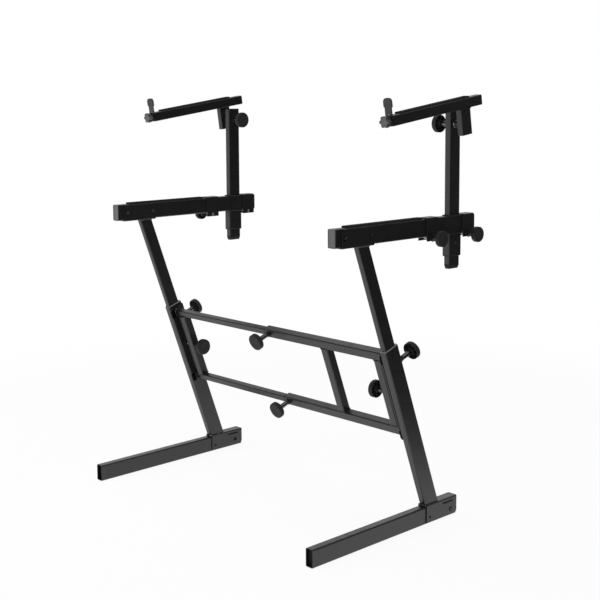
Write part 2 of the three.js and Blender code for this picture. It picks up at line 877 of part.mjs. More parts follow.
// The convex body between two rings of as many points, given in turn
function hullOf(points) {
  const count = points.length / 2;
  const position = [];
  const triangle = (a, b, c) => position.push(...a.toArray(), ...b.toArray(), ...c.toArray());
  for (let k = 0; k < count; k += 1) {
    const next = (k + 1) % count;
    const [topA, lowA] = points.slice(2 * k, 2 * k + 2);
    const [topB, lowB] = points.slice(2 * next, 2 * next + 2);
    triangle(topA, lowA, lowB);
    triangle(topA, lowB, topB);
    if (k > 0 && k < count - 1) {
      triangle(points[0], topA, topB);
      triangle(points[1], lowB, lowA);
    }
  }
  const geometry = new THREE.BufferGeometry();
  geometry.setAttribute('position', new THREE.Float32BufferAttribute(position, 3));
  return solidOf(geometry);
}

// Tilting arm with the stub that hangs from it to the pivot
function addTierArm(side, name) {
  const frame = group(model, side * (legSpacing / 2 + tierArmOutset), postY, pivotZ, tierTilt);
  const middleZ = tierArmRise + tierArm.height / 2;
  const boreWidth = tierArm.width - 2 * tierArm.wall;
  const boreHeight = tierArm.height - 2 * tierArm.wall;
  const stubX = side * (tierArm.width - stub.width) / 2;
  const stubInner = stubX - side * stub.width / 2;
  const spacerEnd = side * (post.width / 2 + seatGap - tierArmOutset);
  const studEnd = stubX;
  const body = cut(
    join([
      bar(tierArm.width, tierArm.height, tierArm.corner, 'y', -tierArmAhead, tierArmBehind, 0, middleZ),
      bar(stub.width, stub.depth, stub.corner, 'z', -stub.drop, tierArmRise + tierArm.wall, stubX, 0),
      rod(boss.radius, 'x', ...span(spacerEnd, stubInner + side * stub.wall / 2)),
    ]),
    [
      bar(
        boreWidth,
        boreHeight,
        innerCorner(tierArm),
        'y',
        -tierArmAhead + tierEndPlate,
        tierArmBehind + overrun,
        0,
        middleZ,
      ),
      bar(
        stub.width - 2 * stub.wall,
        stub.depth - 2 * stub.wall,
        innerCorner(stub),
        'z',
        -stub.drop - overrun,
        tierArmRise,
        stubX,
        0,
      ),
      rod(studHole, 'x', ...span(spacerEnd - side * overrun, studEnd)),
      rod(studHole, 'y', -tierArmAhead - overrun, -tierArmAhead + tierEndPlate + overrun, [0, middleZ]),
    ],
  );
  place(frame, `tier_arm_${name}`, body, steelCoat);
  placeCap(frame, `tier_cap_rear_${name}`, tubeCap(tierArm), tierArmBehind, middleZ, 1);

  const pad = bar(
    tierPad.width,
    tierPad.height,
    tierPad.corner,
    'y',
    -tierArmAhead + tierPad.front,
    -tierArmAhead + tierPad.front + tierPad.length,
    0,
    tierArmRise + tierArm.height + seatGap + tierPad.height / 2,
  );
  place(frame, `tier_pad_${name}`, pad, padRubber);

  const knobBoss = -side * (tierArmOutset + post.width / 2 + boss.length);
  placeKnob(
    frame,
    `knob_tilt_${name}`,
    roundKnob(largeDisc, stemFor(tiltKnobReach), Math.abs(knobBoss - studEnd) - seatGap),
    [knobBoss, 0, 0],
    [-side, 0, 0],
  );
  addStop(frame, name, middleZ);
}

// Front stop: a slotted plate with a rubber sleeve, held on the arm's end by a lobed knob
function addStop(frame, name, middleZ) {
  const rear = -tierArmAhead - seatGap;
  const front = rear - stopPlate.thickness;
  const top = tierArmRise + stopPlate.height;
  const slotLow = middleZ - stopSlot.below;
  const slotHigh = middleZ + stopSlot.above;
  const plate = cut(
    bar(
      stopPlate.width,
      stopPlate.height,
      stopPlate.corner,
      'y',
      front,
      rear,
      0,
      (tierArmRise + top) / 2,
    ),
    [
      bar(
        2 * studHole,
        slotHigh - slotLow + 2 * studHole,
        studHole - seatGap / 2,
        'y',
        front - overrun,
        rear + overrun,
        0,
        (slotLow + slotHigh) / 2,
      ),
    ],
  );
  place(frame, `stop_plate_${name}`, plate, steelCoat);

  const sleeveTop = top + seatGap + stopSleeve.wall;
  const sleeveLow = sleeveTop - stopSleeve.height;
  const outline = new THREE.Shape();
  const half = stopSleeve.width / 2;
  const { round } = stopSleeve;
  outline.moveTo(-half, sleeveLow);
  outline.lineTo(half, sleeveLow);
  outline.absarc(half - round, sleeveTop - round, round, 0, Math.PI / 2);
  outline.absarc(round - half, sleeveTop - round, round, Math.PI / 2, Math.PI);
  outline.closePath();
  const grow = seatGap + stopSleeve.wall;
  const pocket = bar(
    stopPlate.width + 2 * seatGap,
    stopPlate.height + seatGap,
    stopPlate.corner + seatGap,
    'y',
    front - seatGap,
    rear + seatGap,
    0,
    (tierArmRise + top + seatGap) / 2,
  );
  const rubber = cut(extrude(outline, 'y', front - grow, rear + grow), [pocket]);
  place(frame, `stop_sleeve_${name}`, rubber, stopRubber);

  const seat = front - seatGap;
  const tip = Math.abs(seat - (-tierArmAhead + tierEndPlate)) + studTipPast;
  placeKnob(frame, `knob_stop_${name}`, lobedDisc(tip), [0, seat, middleZ], [0, -1, 0]);
}

for (const [side, name] of [[1, 'right'], [-1, 'left']]) {
  addFoot(side, name);
  addLowerLeg(side, name);
  const frame = addCrossbarFrame(side, name);
  if (side > 0) {
    for (const [level, height] of [['lower', lowerBar], ['upper', upperBar]]) {
      addCrossbarBush(frame, level, height);
      addCrossbarKnob(frame, level, height);
    }
  }
  addUpperLeg(side, name);
  addArm(side, name);
  addPost(side, name);
  addTierArm(side, name);
}

// The origin lies on the floor under the middle of the stand
model.updateMatrixWorld(true);
const bounds = new THREE.Box3().setFromObject(model, true);
model.position.y = -(bounds.min.y + bounds.max.y) / 2;

export default stand;
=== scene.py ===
"""Looks of a two-tier Z keyboard stand in black powder-coated steel tube."""

import math

import bmesh
import bpy
from mathutils import Matrix, Vector


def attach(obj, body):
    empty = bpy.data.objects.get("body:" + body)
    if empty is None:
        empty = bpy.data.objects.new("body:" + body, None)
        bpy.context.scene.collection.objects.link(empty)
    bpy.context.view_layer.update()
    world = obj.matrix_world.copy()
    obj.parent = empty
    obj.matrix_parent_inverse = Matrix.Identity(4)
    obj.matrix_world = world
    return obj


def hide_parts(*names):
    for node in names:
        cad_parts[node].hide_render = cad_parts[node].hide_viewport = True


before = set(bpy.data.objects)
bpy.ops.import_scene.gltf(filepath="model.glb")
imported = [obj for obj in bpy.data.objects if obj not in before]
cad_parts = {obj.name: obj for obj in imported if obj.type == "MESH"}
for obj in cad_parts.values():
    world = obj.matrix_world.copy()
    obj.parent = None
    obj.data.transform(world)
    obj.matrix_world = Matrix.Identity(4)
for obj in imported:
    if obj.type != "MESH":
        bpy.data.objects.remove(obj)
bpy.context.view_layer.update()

bl_info = {
    "name": "Keyboard stand looks",
    "version": (1, 0, 0),
    "blender": (4, 5, 0),
    "location": "3D View > Sidebar > Stand",
    "description": "Builds the detailed pieces, finishes and studio of a Z keyboard stand",
    "category": "Object",
}

SIDES = ((1, "right"), (-1, "left"))
MM = 0.001


def size(label, words, value):
    """A length in millimetres that a user may change."""
    return bpy.props.FloatProperty(name=label, description=words, default=value, min=0.0)


def shade(label, words, value):
    """A colour that a user may change."""
    return bpy.props.FloatVectorProperty(
        name=label, description=words, default=value, size=3, subtype="COLOR", min=0.0, max=1.0
    )


def share(label, words, value):
    """A number from 0 to 1 that a user may change."""
    return bpy.props.FloatProperty(
        name=label, description=words, default=value, min=0.0, max=1.0, subtype="FACTOR"
    )


def number(label, words, value):
    """A plain number that a user may change."""
    return bpy.props.FloatProperty(name=label, description=words, default=value)


def angle(label, words, value):
    """An angle in radians that a user may change."""
    return bpy.props.FloatProperty(
        name=label, description=words, default=value, subtype="ANGLE", unit="ROTATION"
    )


# Where the stand's frames of reference lie, in millimetres
LEG_MIDDLE_X = 448.5
ROW_SHIFT_Y = -303.65
LEG_FOOT_Y = 416.0
LEG_TILT = math.radians(20)
POST_Y = 527.0
PIVOT_Z = 1055.0
TIER_TILT = math.radians(8.3)
TIER_OUTSET = 35.0
BAR_KNOB_X = -4.0

# Sizes and spots that several pieces use, in millimetres
CLEARANCE = 0.3
OVERLAP = 0.3
TUBE_EDGE = 0.25
THREAD_PITCH = 1.25
FOOT_SCREWS = ((514.5, 19.0),)
ARM_SCREWS = ((30.0, 0.0), (120.0, 0.0))
TILT_STUD_TIP = 54.45
STUD_END = 3.0

# Radius of each weld bead and of each painted shade ring round a screw head, in millimetres
BEADS = {"boss": 1.1, "upright": 1.2, "bar": 1.4, "sleeve": 1.5, "stub": 1.5, "arm": 1.7, "foot": 2.5}
SHADE_RING_RADII = {"foot": 6.0, "arm": 6.4, "small": 3.4}

# How meshes are cleaned and rounded
MERGE_DISTANCE = 0.002
FLAT_ANGLE = math.radians(0.5)
SHARP_EDGE = math.radians(40)


class StandTubes(bpy.types.PropertyGroup):
    """Sections and lengths of the stand's tubes, in millimetres"""

    wide_width: size("Wide tube width", "Across the foot and the lower arm", 25.0)
    wide_height: size("Wide tube height", "Height of the foot and the lower arm", 47.0)
    wide_wall: size("Wide tube wall", "Wall of the foot and the lower arm", 1.5)
    wide_corner: size("Wide tube corner", "Outside radius of its long edges", 4.0)
    foot_length: size("Foot length", "From the foot's front end to its rear end", 539.0)
    arm_length: size("Arm length", "From the lower arm's front end to its rear end", 526.0)
    arm_front: size("Arm front", "The lower arm's front end behind the foot's", 79.0)
    arm_bottom: size("Arm bottom", "Underside of the lower arm above the floor", 767.0)
    outer_width: size("Outer leg width", "Across the lower leg", 21.0)
    outer_depth: size("Outer leg depth", "From its front face to its rear face", 50.0)
    outer_corner: size("Outer leg corner", "Outside radius of its long edges", 3.4)
    outer_length: size("Outer leg length", "From the foot to the guide", 463.0)
    inner_width: size("Inner leg width", "Across the upper leg", 17.0)
    inner_depth: size("Inner leg depth", "From its front face to its rear face", 38.5)
    inner_corner: size("Inner leg corner", "Outside radius of its long edges", 3.0)
    inner_setback: size("Inner leg setback", "Upper leg's front behind the lower one's", 3.3)
    inner_foot: size("Inner leg foot", "Its lower end, along the leg", 240.0)
    wall: size("Leg wall", "Wall of the legs and the posts", 1.5)
    saddle: size("Saddle plate", "Thickness of the saddles", 2.5)
    post_width: size("Post width", "Across the post", 18.5)
    post_depth: size("Post depth", "From its front face to its rear face", 42.0)
    post_inset: size("Post inset", "Its middle ahead of the lower arm's rear end", 78.0)
    sleeve_width: size("Sleeve width", "Across the post's sleeve", 24.5)
    sleeve_depth: size("Sleeve depth", "Depth of the post's sleeve", 49.5)
    sleeve_bottom: size("Sleeve bottom", "Its lower end above the floor", 709.0)
    post_bottom: size("Post bottom", "The post's lower end above the floor", 685.0)
    post_top: size("Post top", "The post's upper end above the floor", 1088.0)
    tier_width: size("Tilting arm width", "Across the tilting arm", 25.0)
    tier_height: size("Tilting arm height", "Height of its tube", 27.0)
    tier_rise: size("Tilting arm rise", "Its underside above the pivot", 40.0)
    tier_ahead: size("Tilting arm front", "Its front end ahead of the pivot", 278.0)
    tier_behind: size("Tilting arm rear", "Its rear end behind the pivot", 68.0)
    stub_width: size("Stub width", "Across the stub that hangs to the pivot", 18.0)
    stub_depth: size("Stub depth", "Its depth", 40.0)
    stub_drop: size("Stub drop", "Its lower end below the pivot", 28.0)
    tier_end_plate: size("Tilting arm end plate", "Thickness of the plate in its front end", 2.5)
    stop_plate: size("Stop plate", "Thickness of the front stops' plates", 3.0)
    strap_ahead: size("Front strap", "Its middle ahead of the post's", 95.0)
    strap_inset: size("Rear strap", "Its middle ahead of the lower arm's rear end", 26.5)
    play: size("Play", "Gap between pieces that seat on each other", 0.3)
    rounding: size("Edge rounding", "Radius of cut edges of steel", 0.45)


class StandCrossbars(bpy.types.PropertyGroup):
    """The frame of crossbars between the sides, in millimetres"""

    thick: size("Thick bar", "Size of the square tubes on the right-hand side", 25.0)
    thick_wall: size("Thick bar wall", "Their wall", 1.5)
    thick_corner: size("Thick bar corner", "Outside radius of their edges", 3.5)
    thin: size("Thin bar", "Size of the square tubes that slide in the thick ones", 18.5)
    thin_corner: size("Thin bar corner", "Outside radius of their edges", 3.0)
    lower: size("Lower bar", "Middle of the lower crossbar, along the leg", 216.5)
    upper: size("Upper bar", "Middle of the upper crossbar, along the leg", 438.5)
    setback: size("Setback", "Crossbars' front behind the legs' front", 12.0)
    thick_reach: size("Thick bar reach", "Its free end left of the stand's middle", 19.0)
    thin_reach: size("Thin bar reach", "Its free end right of the stand's middle", 130.0)
    upright_gap: size("Upright gap", "Between the flange plate and the upright", 15.2)
    brace_x: size("Brace", "Middle of the brace right of the stand's middle", 212.0)
    plate: size("Flange plate", "Thickness of the plate on the leg", 3.5)
    seam: size("Seam", "Dark seam between the plate and the leg, beyond the play", 0.6)
    plate_below: size("Plate below", "Plate below the lower crossbar's middle", 16.0)
    plate_above: size("Plate above", "Plate above the upper crossbar's middle", 19.0)
    notch_height: size("Notch height", "Height of the plate's front notches", 24.0)
    notch_depth: size("Notch depth", "Depth of the plate's front notches", 9.0)


class StandKnobs(bpy.types.PropertyGroup):
    """Hand knobs, in millimetres"""

    large: size("Large disc", "Radius of the knobs on legs, crossbars and posts", 23.5)
    small: size("Small disc", "Radius of the knobs on the straps", 20.5)
    thickness: size("Disc thickness", "From the ribbed back to the front", 13.0)
    stud: size("Stud", "Radius of the screw", 4.0)
    neck: size("Neck", "Radius of the neck between the disc and its boss", 6.8)
    neck_start: size("Neck start", "Its free end before the boss", 3.0)
    boss: size("Boss radius", "Radius of the welded nut boss", 8.0)
    boss_length: size("Boss length", "How far the boss stands out", 7.0)
    leg_height: size("Leg knob", "Middle of the knob on the leg's rear, along the leg", 415.5)
    lobed: size("Lobed knob", "Mean radius of the front stops' knobs", 13.9)
    ribs: bpy.props.IntProperty(
        name="Ribs", description="Ribs in the hollow back of a disc", default=8, min=3
    )


class StandFinish(bpy.types.PropertyGroup):
    """Colours and finishes"""

    coat: shade("Powder coat", "Colour of the coated steel", (0.0105, 0.0107, 0.011))
    coat_roughness: share("Powder coat roughness", "Gloss of the coated steel", 0.34)
    plastic: shade("Plastic", "Colour of caps and guides", (0.014, 0.0142, 0.0148))
    # Painted light: the plugs' plastic is lighter than the caps' to stand in for the light on the arms'
    # front plugs
    plug: shade("Plug plastic", "Colour of the lower arms' end plugs", (0.066, 0.0665, 0.068))
    # Painted highlight: the guides' lighter grey stands in for the bright line that light draws along their
    # edge
    collar: shade("Collar plastic", "Colour of the lower legs' guides", (0.14, 0.1415, 0.1435))
    knob: shade("Knob plastic", "Colour of the hand knobs", (0.009, 0.0091, 0.0095))
    lobed: shade("Lobed knob plastic", "Colour of the stops' knobs", (0.045, 0.0455, 0.0465))
    rubber: shade("Pad rubber", "Colour of the pads", (0.012, 0.012, 0.0122))
    stop: shade("Stop rubber", "Colour of the front stops' sleeves", (0.09, 0.092, 0.094))
    zinc: shade("Zinc", "Colour of the plated studs and bolts", (0.62, 0.62, 0.60))


class StandStage(bpy.types.PropertyGroup):
    """Camera, lamps and floor"""

    camera_place: bpy.props.FloatVectorProperty(
        name="Camera", description="Its place from the feet's front ends, in millimetres",
        default=(2386.4, -1851.7, 1127.8), size=3,
    )
    yaw: angle("Yaw", "Turn of the view to the left of +Y", 0.8043)
    pitch: angle("Pitch", "How far the view looks down", 0.1106)
    roll: angle("Roll", "Turn about the line of sight", -0.004)
    lens: number("Lens", "Focal length", 69.48)
    shift_x: number("Shift across", "Share of the picture's width", -0.02043)
    shift_y: number("Shift up", "Share of the picture's width", -0.125)
    floor: shade("Floor", "Colour of the floor", (0.9, 0.9, 0.9))
    floor_radius: number("Floor radius", "In metres", 2.6)
    floor_glow: share("Floor glow", "Share of plain white in the floor", 0.92)
    ambient: share("Ambient", "Plain light from all round", 0.35)
    dark_side: share("Dark side", "How dark the sides without a white wall are in reflections", 0.97)
    key: number("Key lamp", "Power of the large lamp at the left front", 60.0)
    top: number("Top lamp", "Power of the lamp above", 60.0)
    fill: number("Fill lamp", "Power of the lamp at the right front", 6.0)


def tubes():
    return bpy.context.scene.stand_tubes


def crossbars():
    return bpy.context.scene.stand_crossbars


def knobs():
    return bpy.context.scene.stand_knobs


def finish():
    return bpy.context.scene.stand_finish


# Places: each gives the matrix from a piece's own millimetres to the row's metres
def row_place(x, y, z, tilt=0.0):
    """A frame at a point measured from the feet's front ends, tilted about X."""
    move = Matrix.Translation(Vector((x, y + ROW_SHIFT_Y, z)) * MM)
    return move @ Matrix.Rotation(tilt, 4, "X") @ Matrix.Scale(MM, 4)


def web_top():
    t = tubes()
    return t.wide_height + t.play + t.saddle


def leg_place(side):
    return row_place(side * LEG_MIDDLE_X, LEG_FOOT_Y, web_top(), LEG_TILT)


def crossbar_place():
    return row_place(0.0, LEG_FOOT_Y, web_top(), LEG_TILT)


def foot_place(side):
    return row_place(side * LEG_MIDDLE_X, 0.0, tubes().wide_height / 2)


def arm_place(side):
    t = tubes()
    return row_place(side * LEG_MIDDLE_X, t.arm_front, t.arm_bottom + t.wide_height / 2)


def post_place(side):
    return row_place(side * LEG_MIDDLE_X, POST_Y, 0.0)


def tier_place(side):
    return row_place(side * (LEG_MIDDLE_X + TIER_OUTSET), POST_Y, PIVOT_Z, TIER_TILT)


def strap_middles():
    """Middle of each strap behind the lower arm's front end."""
    t = tubes()
    front = t.arm_length - t.post_inset - t.strap_ahead
    return (("strap_front", front), ("strap", t.arm_length - t.strap_inset))


def saddle_face():
    """How far a saddle's outer face lies from the middle of the tube it grips."""
    t = tubes()
    return t.wide_width / 2 + t.play + t.saddle


def bar_middle():
    """Middle of the crossbars behind the legs' front."""
    c = crossbars()
    return c.setback + c.thick / 2


def side_knob_height():
    """Height of the side knobs along the leg, midway between the crossbars."""
    c = crossbars()
    return (c.lower + c.upper) / 2


# Sections of tubes: width, depth and corner
def wide_section():
    t = tubes()
    return (t.wide_width, t.wide_height, t.wide_corner)


def outer_section():
    t = tubes()
    return (t.outer_width, t.outer_depth, t.outer_corner)


def inner_section():
    t = tubes()
    return (t.inner_width, t.inner_depth, t.inner_corner)


def post_section():
    t = tubes()
    return (t.post_width, t.post_depth, t.inner_corner)


def sleeve_section():
    t = tubes()
    return (t.sleeve_width, t.sleeve_depth, t.outer_corner)


# Solids in millimetres
def rounded(width, height, corner, x=0.0, y=0.0, steps=5):
    """Outline of a rectangle with rounded corners, anticlockwise."""
    points = []
    corners = ((1, 1, 0.0), (-1, 1, 0.5), (-1, -1, 1.0), (1, -1, 1.5))
    for over, up, start in corners:
        middle_x = x + over * (width / 2 - corner)
        middle_y = y + up * (height / 2 - corner)
        for step in range(steps + 1):
            turn = math.pi * (start + step / (2 * steps))
            points.append((middle_x + corner * math.cos(turn), middle_y + corner * math.sin(turn)))
    return points


def around(section, grow, x=0.0, y=0.0):
    """Outline of a section that is so much wider and deeper."""
    width, height, corner = section
    return rounded(width + grow, height + grow, corner, x, y)


def circle(radius, x=0.0, y=0.0, steps=40):
    turns = [2 * math.pi * step / steps for step in range(steps)]
    return [(x + radius * math.cos(a), y + radius * math.sin(a)) for a in turns]


def lay(axis, u, v, along):
    """A point of an outline on its axis: X takes (Y, Z), Y takes (X, Z), Z takes (X, Y)."""
    if axis == "X":
        return (along, u, v)
    if axis == "Y":
        return (u, along, v)
    return (u, v, along)


def lifted(outline, z):
    """An outline's points at a height."""
    return [(u, v, z) for u, v in outline]


def inset_ring(section, inset, axis, along, x=0.0, y=0.0, least=0.5):
    """A section's outline, drawn in by an inset and laid at a place on an axis."""
    width, height, corner = section
    outline = rounded(width - 2 * inset, height - 2 * inset, max(corner - inset, least), x, y)
    return [lay(axis, u, v, along) for u, v in outline]


def round_rings(profile, steps):
    """Rings of points about Z from (radius, height) pairs."""
    return [lifted(circle(radius, steps=steps), height) for radius, height in profile]


def as_object(name, work):
    """A closed mesh object from a bmesh, with its faces outwards."""
    bmesh.ops.recalc_face_normals(work, faces=work.faces)
    mesh = bpy.data.meshes.new(name)
    work.to_mesh(mesh)
    work.free()
    piece = bpy.data.objects.new(name, mesh)
    bpy.context.scene.collection.objects.link(piece)
    return piece


def loft(rings, closed=False):
    """A solid through rings of as many points each, capped unless it closes on itself."""
    work = bmesh.new()
    made = [[work.verts.new(point) for point in ring] for ring in rings]
    pairs = list(zip(made, made[1:]))
    if closed:
        pairs.append((made[-1], made[0]))
    for low, high in pairs:
        for k, corner in enumerate(low):
            after = (k + 1) % len(low)
            work.faces.new((corner, low[after], high[after], high[k]))
    if not closed:
        work.faces.new(made[0])
        work.faces.new(made[-1])
    return as_object("solid", work)


def prism(outline, axis, start, end):
    ends = (start, end)
    return loft([[lay(axis, u, v, along) for u, v in outline] for along in ends])


def block(x, y, z):
    outline = [(x[0], y[0]), (x[1], y[0]), (x[1], y[1]), (x[0], y[1])]
    return prism(outline, "Z", z[0], z[1])


def stud_hole(axis, start, end, u=0.0, v=0.0):
    """A cutter for the hole that a stud goes through."""
    return prism(circle(knobs().stud + CLEARANCE, u, v), axis, *sorted((start, end)))


def tube(section, axis, start, end, wall, x=0.0, y=0.0):
    """An open tube of a rounded section (width, height, corner)."""
    width, height, corner = section
    inner = max(corner - wall, wall / 2)
    outside = rounded(width, height, corner, x, y)
    inside = rounded(width - 2 * wall, height - 2 * wall, inner, x, y)
    rings = [
        [lay(axis, u, v, start) for u, v in outside],
        [lay(axis, u, v, end) for u, v in outside],
        [lay(axis, u, v, end) for u, v in inside],
        [lay(axis, u, v, start) for u, v in inside],
    ]
    return loft(rings, closed=True)


def baked(piece):
    """Turns a piece's modifiers into its mesh."""
    graph = bpy.context.evaluated_depsgraph_get()
    mesh = bpy.data.meshes.new_from_object(piece.evaluated_get(graph))
    old = piece.data
    piece.modifiers.clear()
    piece.data = mesh
    bpy.data.meshes.remove(old)
    return piece


def cut(whole, *tools):
    """Takes the tools' volumes out of a solid."""
    for tool in tools:
        modifier = whole.modifiers.new("cut", "BOOLEAN")
        modifier.operation = "DIFFERENCE"
        modifier.solver = "EXACT"
        modifier.object = tool
    bpy.context.view_layer.update()
    baked(whole)
    for tool in tools:
        bpy.data.objects.remove(tool)
    return whole


def gather(name, pieces):
    """One object from several, with their materials kept."""
    work = bmesh.new()
    materials = []
    for piece in pieces:
        slots = []
        for material in piece.data.materials:
            if material not in materials:
                materials.append(material)
            slots.append(materials.index(material))
        before = len(work.faces)
        work.from_mesh(piece.data)
        work.faces.ensure_lookup_table()
        for face in work.faces[before:]:
            face.material_index = slots[face.material_index] if slots else 0
    mesh = bpy.data.meshes.new(name)
    work.to_mesh(mesh)
    work.free()
    for material in materials:
        mesh.materials.append(material)
    for piece in pieces:
        bpy.data.objects.remove(piece)
    whole = bpy.data.objects.new(name, mesh)
    bpy.context.scene.collection.objects.link(whole)
    return whole


def smooth(piece):
    """Shades all of a piece's faces smooth."""
    piece.data.polygons.foreach_set("use_smooth", [True] * len(piece.data.polygons))
    return piece


def eased(piece, radius, segments=2):
    """Rounds a piece's sharp edges and shades it smooth."""
    work = bmesh.new()
    work.from_mesh(piece.data)
    bmesh.ops.remove_doubles(work, verts=work.verts, dist=MERGE_DISTANCE)
    bmesh.ops.dissolve_limit(work, angle_limit=FLAT_ANGLE, verts=work.verts, edges=work.edges)
    work.to_mesh(piece.data)
    work.free()
    if radius > 0:
        modifier = piece.modifiers.new("round", "BEVEL")
        modifier.width = radius
        modifier.segments = segments
        modifier.limit_method = "ANGLE"
        modifier.angle_limit = SHARP_EDGE
        modifier.miter_outer = "MITER_ARC"
    smooth(piece)
    normals = piece.modifiers.new("normals", "WEIGHTED_NORMAL")
    normals.keep_sharp = True
    bpy.context.view_layer.update()
    return baked(piece)


def turned(profile, steps=64):
    """A solid of revolution about Z from (radius, height) points between two poles."""
    work = bmesh.new()
    rings = []
    for radius, height in profile:
        if radius == 0:
            rings.append([work.verts.new((0, 0, height))])
        else:
            rings.append([work.verts.new((x, y, height)) for x, y in circle(radius, steps=steps)])
    for low, high in zip(rings, rings[1:]):
        for k in range(steps):
            after = (k + 1) % steps
            if len(low) == 1:
                work.faces.new((low[0], high[k], high[after]))
            elif len(high) == 1:
                work.faces.new((low[k], low[after], high[0]))
            else:
                work.faces.new((low[k], low[after], high[after], high[k]))
    return as_object("turned", work)


def facing(position, direction):
    """The matrix that puts a solid's Z along a direction at a position."""
    turn = Vector((0, 0, 1)).rotation_difference(Vector(direction)).to_matrix().to_4x4()
    return Matrix.Translation(Vector(position)) @ turn


def shift(x, y, z, turn=0.0, axis="X"):
    """The matrix that turns a solid about an axis and then shifts it."""
    return Matrix.Translation((x, y, z)) @ Matrix.Rotation(turn, 4, axis)


def moved(piece, matrix):
    piece.data.transform(matrix)
    return piece


def done(piece, name, place, body, look=None, *nodes):
    """Puts a finished piece in the row frame, on its body, with its finish."""
    piece.name = name
    piece.data.name = name
    moved(piece, place)
    if look is not None:
        piece.data.materials.clear()
        piece.data.materials.append(finished(look))
    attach(piece, body)
    if nodes:
        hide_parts(*nodes)
    return piece


# Node trees
class Nodes:
    """Adds nodes to a tree, each by its type, settings and socket values."""

    def __init__(self, tree):
        self.tree = tree

    def feed(self, socket, value):
        """Links a socket's value into a socket or sets a plain one."""
        if isinstance(value, Amount):
            value = value.socket
        if isinstance(value, bpy.types.NodeSocket):
            self.tree.links.new(value, socket)
        else:
            socket.default_value = value

    def add(self, kind, settings=None, inputs=None):
        node = self.tree.nodes.new(kind)
        for key, value in (settings or {}).items():
            setattr(node, key, value)
        for key, value in (inputs or {}).items():
            self.feed(node.inputs[key], value)
        return node


class Amount:
    """A number in a shader, on which Python's operators add Math nodes."""

    def __init__(self, nodes, socket):
        self.nodes = nodes
        self.socket = socket

    def math(self, operation, *values):
        node = self.nodes.add("ShaderNodeMath", {"operation": operation}, dict(enumerate(values)))
        return Amount(self.nodes, node.outputs[0])

    def __add__(self, other):
        return self.math("ADD", self, other)

    def __radd__(self, other):
        return self.math("ADD", other, self)

    def __sub__(self, other):
        return self.math("SUBTRACT", self, other)

    def __rsub__(self, other):
        return self.math("SUBTRACT", other, self)

    def __mul__(self, other):
        return self.math("MULTIPLY", self, other)

    def __rmul__(self, other):
        return self.math("MULTIPLY", other, self)

    def band(self, low, high):
        """0 below low, 1 above high and smooth between."""
        node = self.nodes.add(
            "ShaderNodeMapRange",
            {"interpolation_type": "SMOOTHSTEP"},
            {"Value": self, "From Min": low, "From Max": high},
        )
        return Amount(self.nodes, node.outputs["Result"])


class Surface(Nodes):
    """A material with its Principled shader and Object coordinates in millimetres."""

    def __init__(self, name):
        self.material = bpy.data.materials.new(name)
        self.material.use_nodes = True
        super().__init__(self.material.node_tree)
        self.shader = self.tree.nodes["Principled BSDF"]
        place = self.add("ShaderNodeTexCoord").outputs["Object"]
        scaled = self.add("ShaderNodeVectorMath", {"operation": "SCALE"}, {0: place, "Scale": 1 / MM})
        self.place = scaled.outputs[0]

    def noise(self, grain, detail=2.0, roughness=0.5):
        """Noise whose grains are about so many millimetres wide."""
        node = self.add(
            "ShaderNodeTexNoise",
            None,
            {"Vector": self.place, "Scale": 1 / grain, "Detail": detail, "Roughness": roughness},
        )
        return Amount(self, node.outputs["Fac"])

    def mixed(self, factor, first, second):
        node = self.add(
            "ShaderNodeMix",
            {"data_type": "RGBA"},
            {"Factor": factor, 6: (*first, 1.0), 7: (*second, 1.0)},
        )
        return node.outputs[2]

    def upward(self):
        """1 where the surface looks up, 0 where it looks sideways or down."""
        normal = self.add("ShaderNodeNewGeometry").outputs["Normal"]
        split = self.add("ShaderNodeSeparateXYZ", None, {0: normal})
        return Amount(self, split.outputs["Z"]).band(0.35, 0.95)

    def set(self, **values):
        """Feeds the shader's own sockets, by their names with underscores."""
        for key, value in values.items():
            self.feed(self.shader.inputs[key.replace("_", " ")], value)

    def bump(self, height, strength, depth):
        """Bump from a height of 0 to 1 that stands for a depth in millimetres."""
        node = self.add(
            "ShaderNodeBump",
            None,
            {"Height": height, "Strength": strength, "Distance": depth * MM},
        )
        self.set(Normal=node.outputs["Normal"])


def lighter(colour, factor):
    return tuple(min(1.0, channel * factor) for channel in colour)


def weld_coat():
    """The same coat over a weld: glossier and lumpy, with pale specks that are painted glints."""
    look = Surface("weld_coat")
    lumps = look.noise(1.6, 3.0, 0.6)
    # Painted highlight: pale specks in the colour stand in for glints on the welds and on the screw heads
    painted_glints = look.noise(4.5, 2.0, 0.5).band(0.6, 0.67)
    look.set(
        Base_Color=look.mixed(painted_glints, tuple(finish().coat), (0.3, 0.3, 0.3)),
        Roughness=lumps * 0.2 + 0.06,
        Specular_IOR_Level=1.0,
    )
    look.bump(lumps, 0.8, 0.4)
    return look.material


def powder_coat():
    """Satin black powder coat: a fine pebbled skin with faint dust and rubbed patches."""
    look = Surface("powder_coat")
    colour = tuple(finish().coat)
    pebble = look.noise(0.9, 2.0, 0.55)
    drift = look.noise(38.0, 3.0, 0.5)
    rubbed = look.noise(7.0, 4.0, 0.65).band(0.62, 0.74) * drift.band(0.5, 0.7)
    dust = look.upward() * look.noise(14.0, 4.0, 0.6).band(0.35, 0.75)
    tone = drift * 0.35 + rubbed * 0.2 + dust * 0.25
    look.set(
        Base_Color=look.mixed(tone, lighter(colour, 0.85), lighter(colour, 1.7)),
        Roughness=drift * 0.08 + rubbed * -0.06 + dust * 0.1 + (finish().coat_roughness - 0.02),
        Specular_IOR_Level=0.65,
    )
    look.bump(pebble, 0.4, 0.04)
    return look.material


def moulded(name, colour, roughness, grain=0.45, gloss=0.7):
    """Moulded plastic: a spark-eroded grain with faint flow marks."""
    look = Surface(name)
    colour = tuple(colour)
    grit = look.noise(grain, 1.0, 0.5)
    flow = look.noise(9.0, 3.0, 0.6)
    look.set(
        Base_Color=look.mixed(flow, lighter(colour, 0.8), lighter(colour, 1.5)),
        Roughness=flow * 0.12 + (roughness - 0.06),
        Specular_IOR_Level=gloss,
    )
    look.bump(grit, 0.35, 0.03)
    return look.material


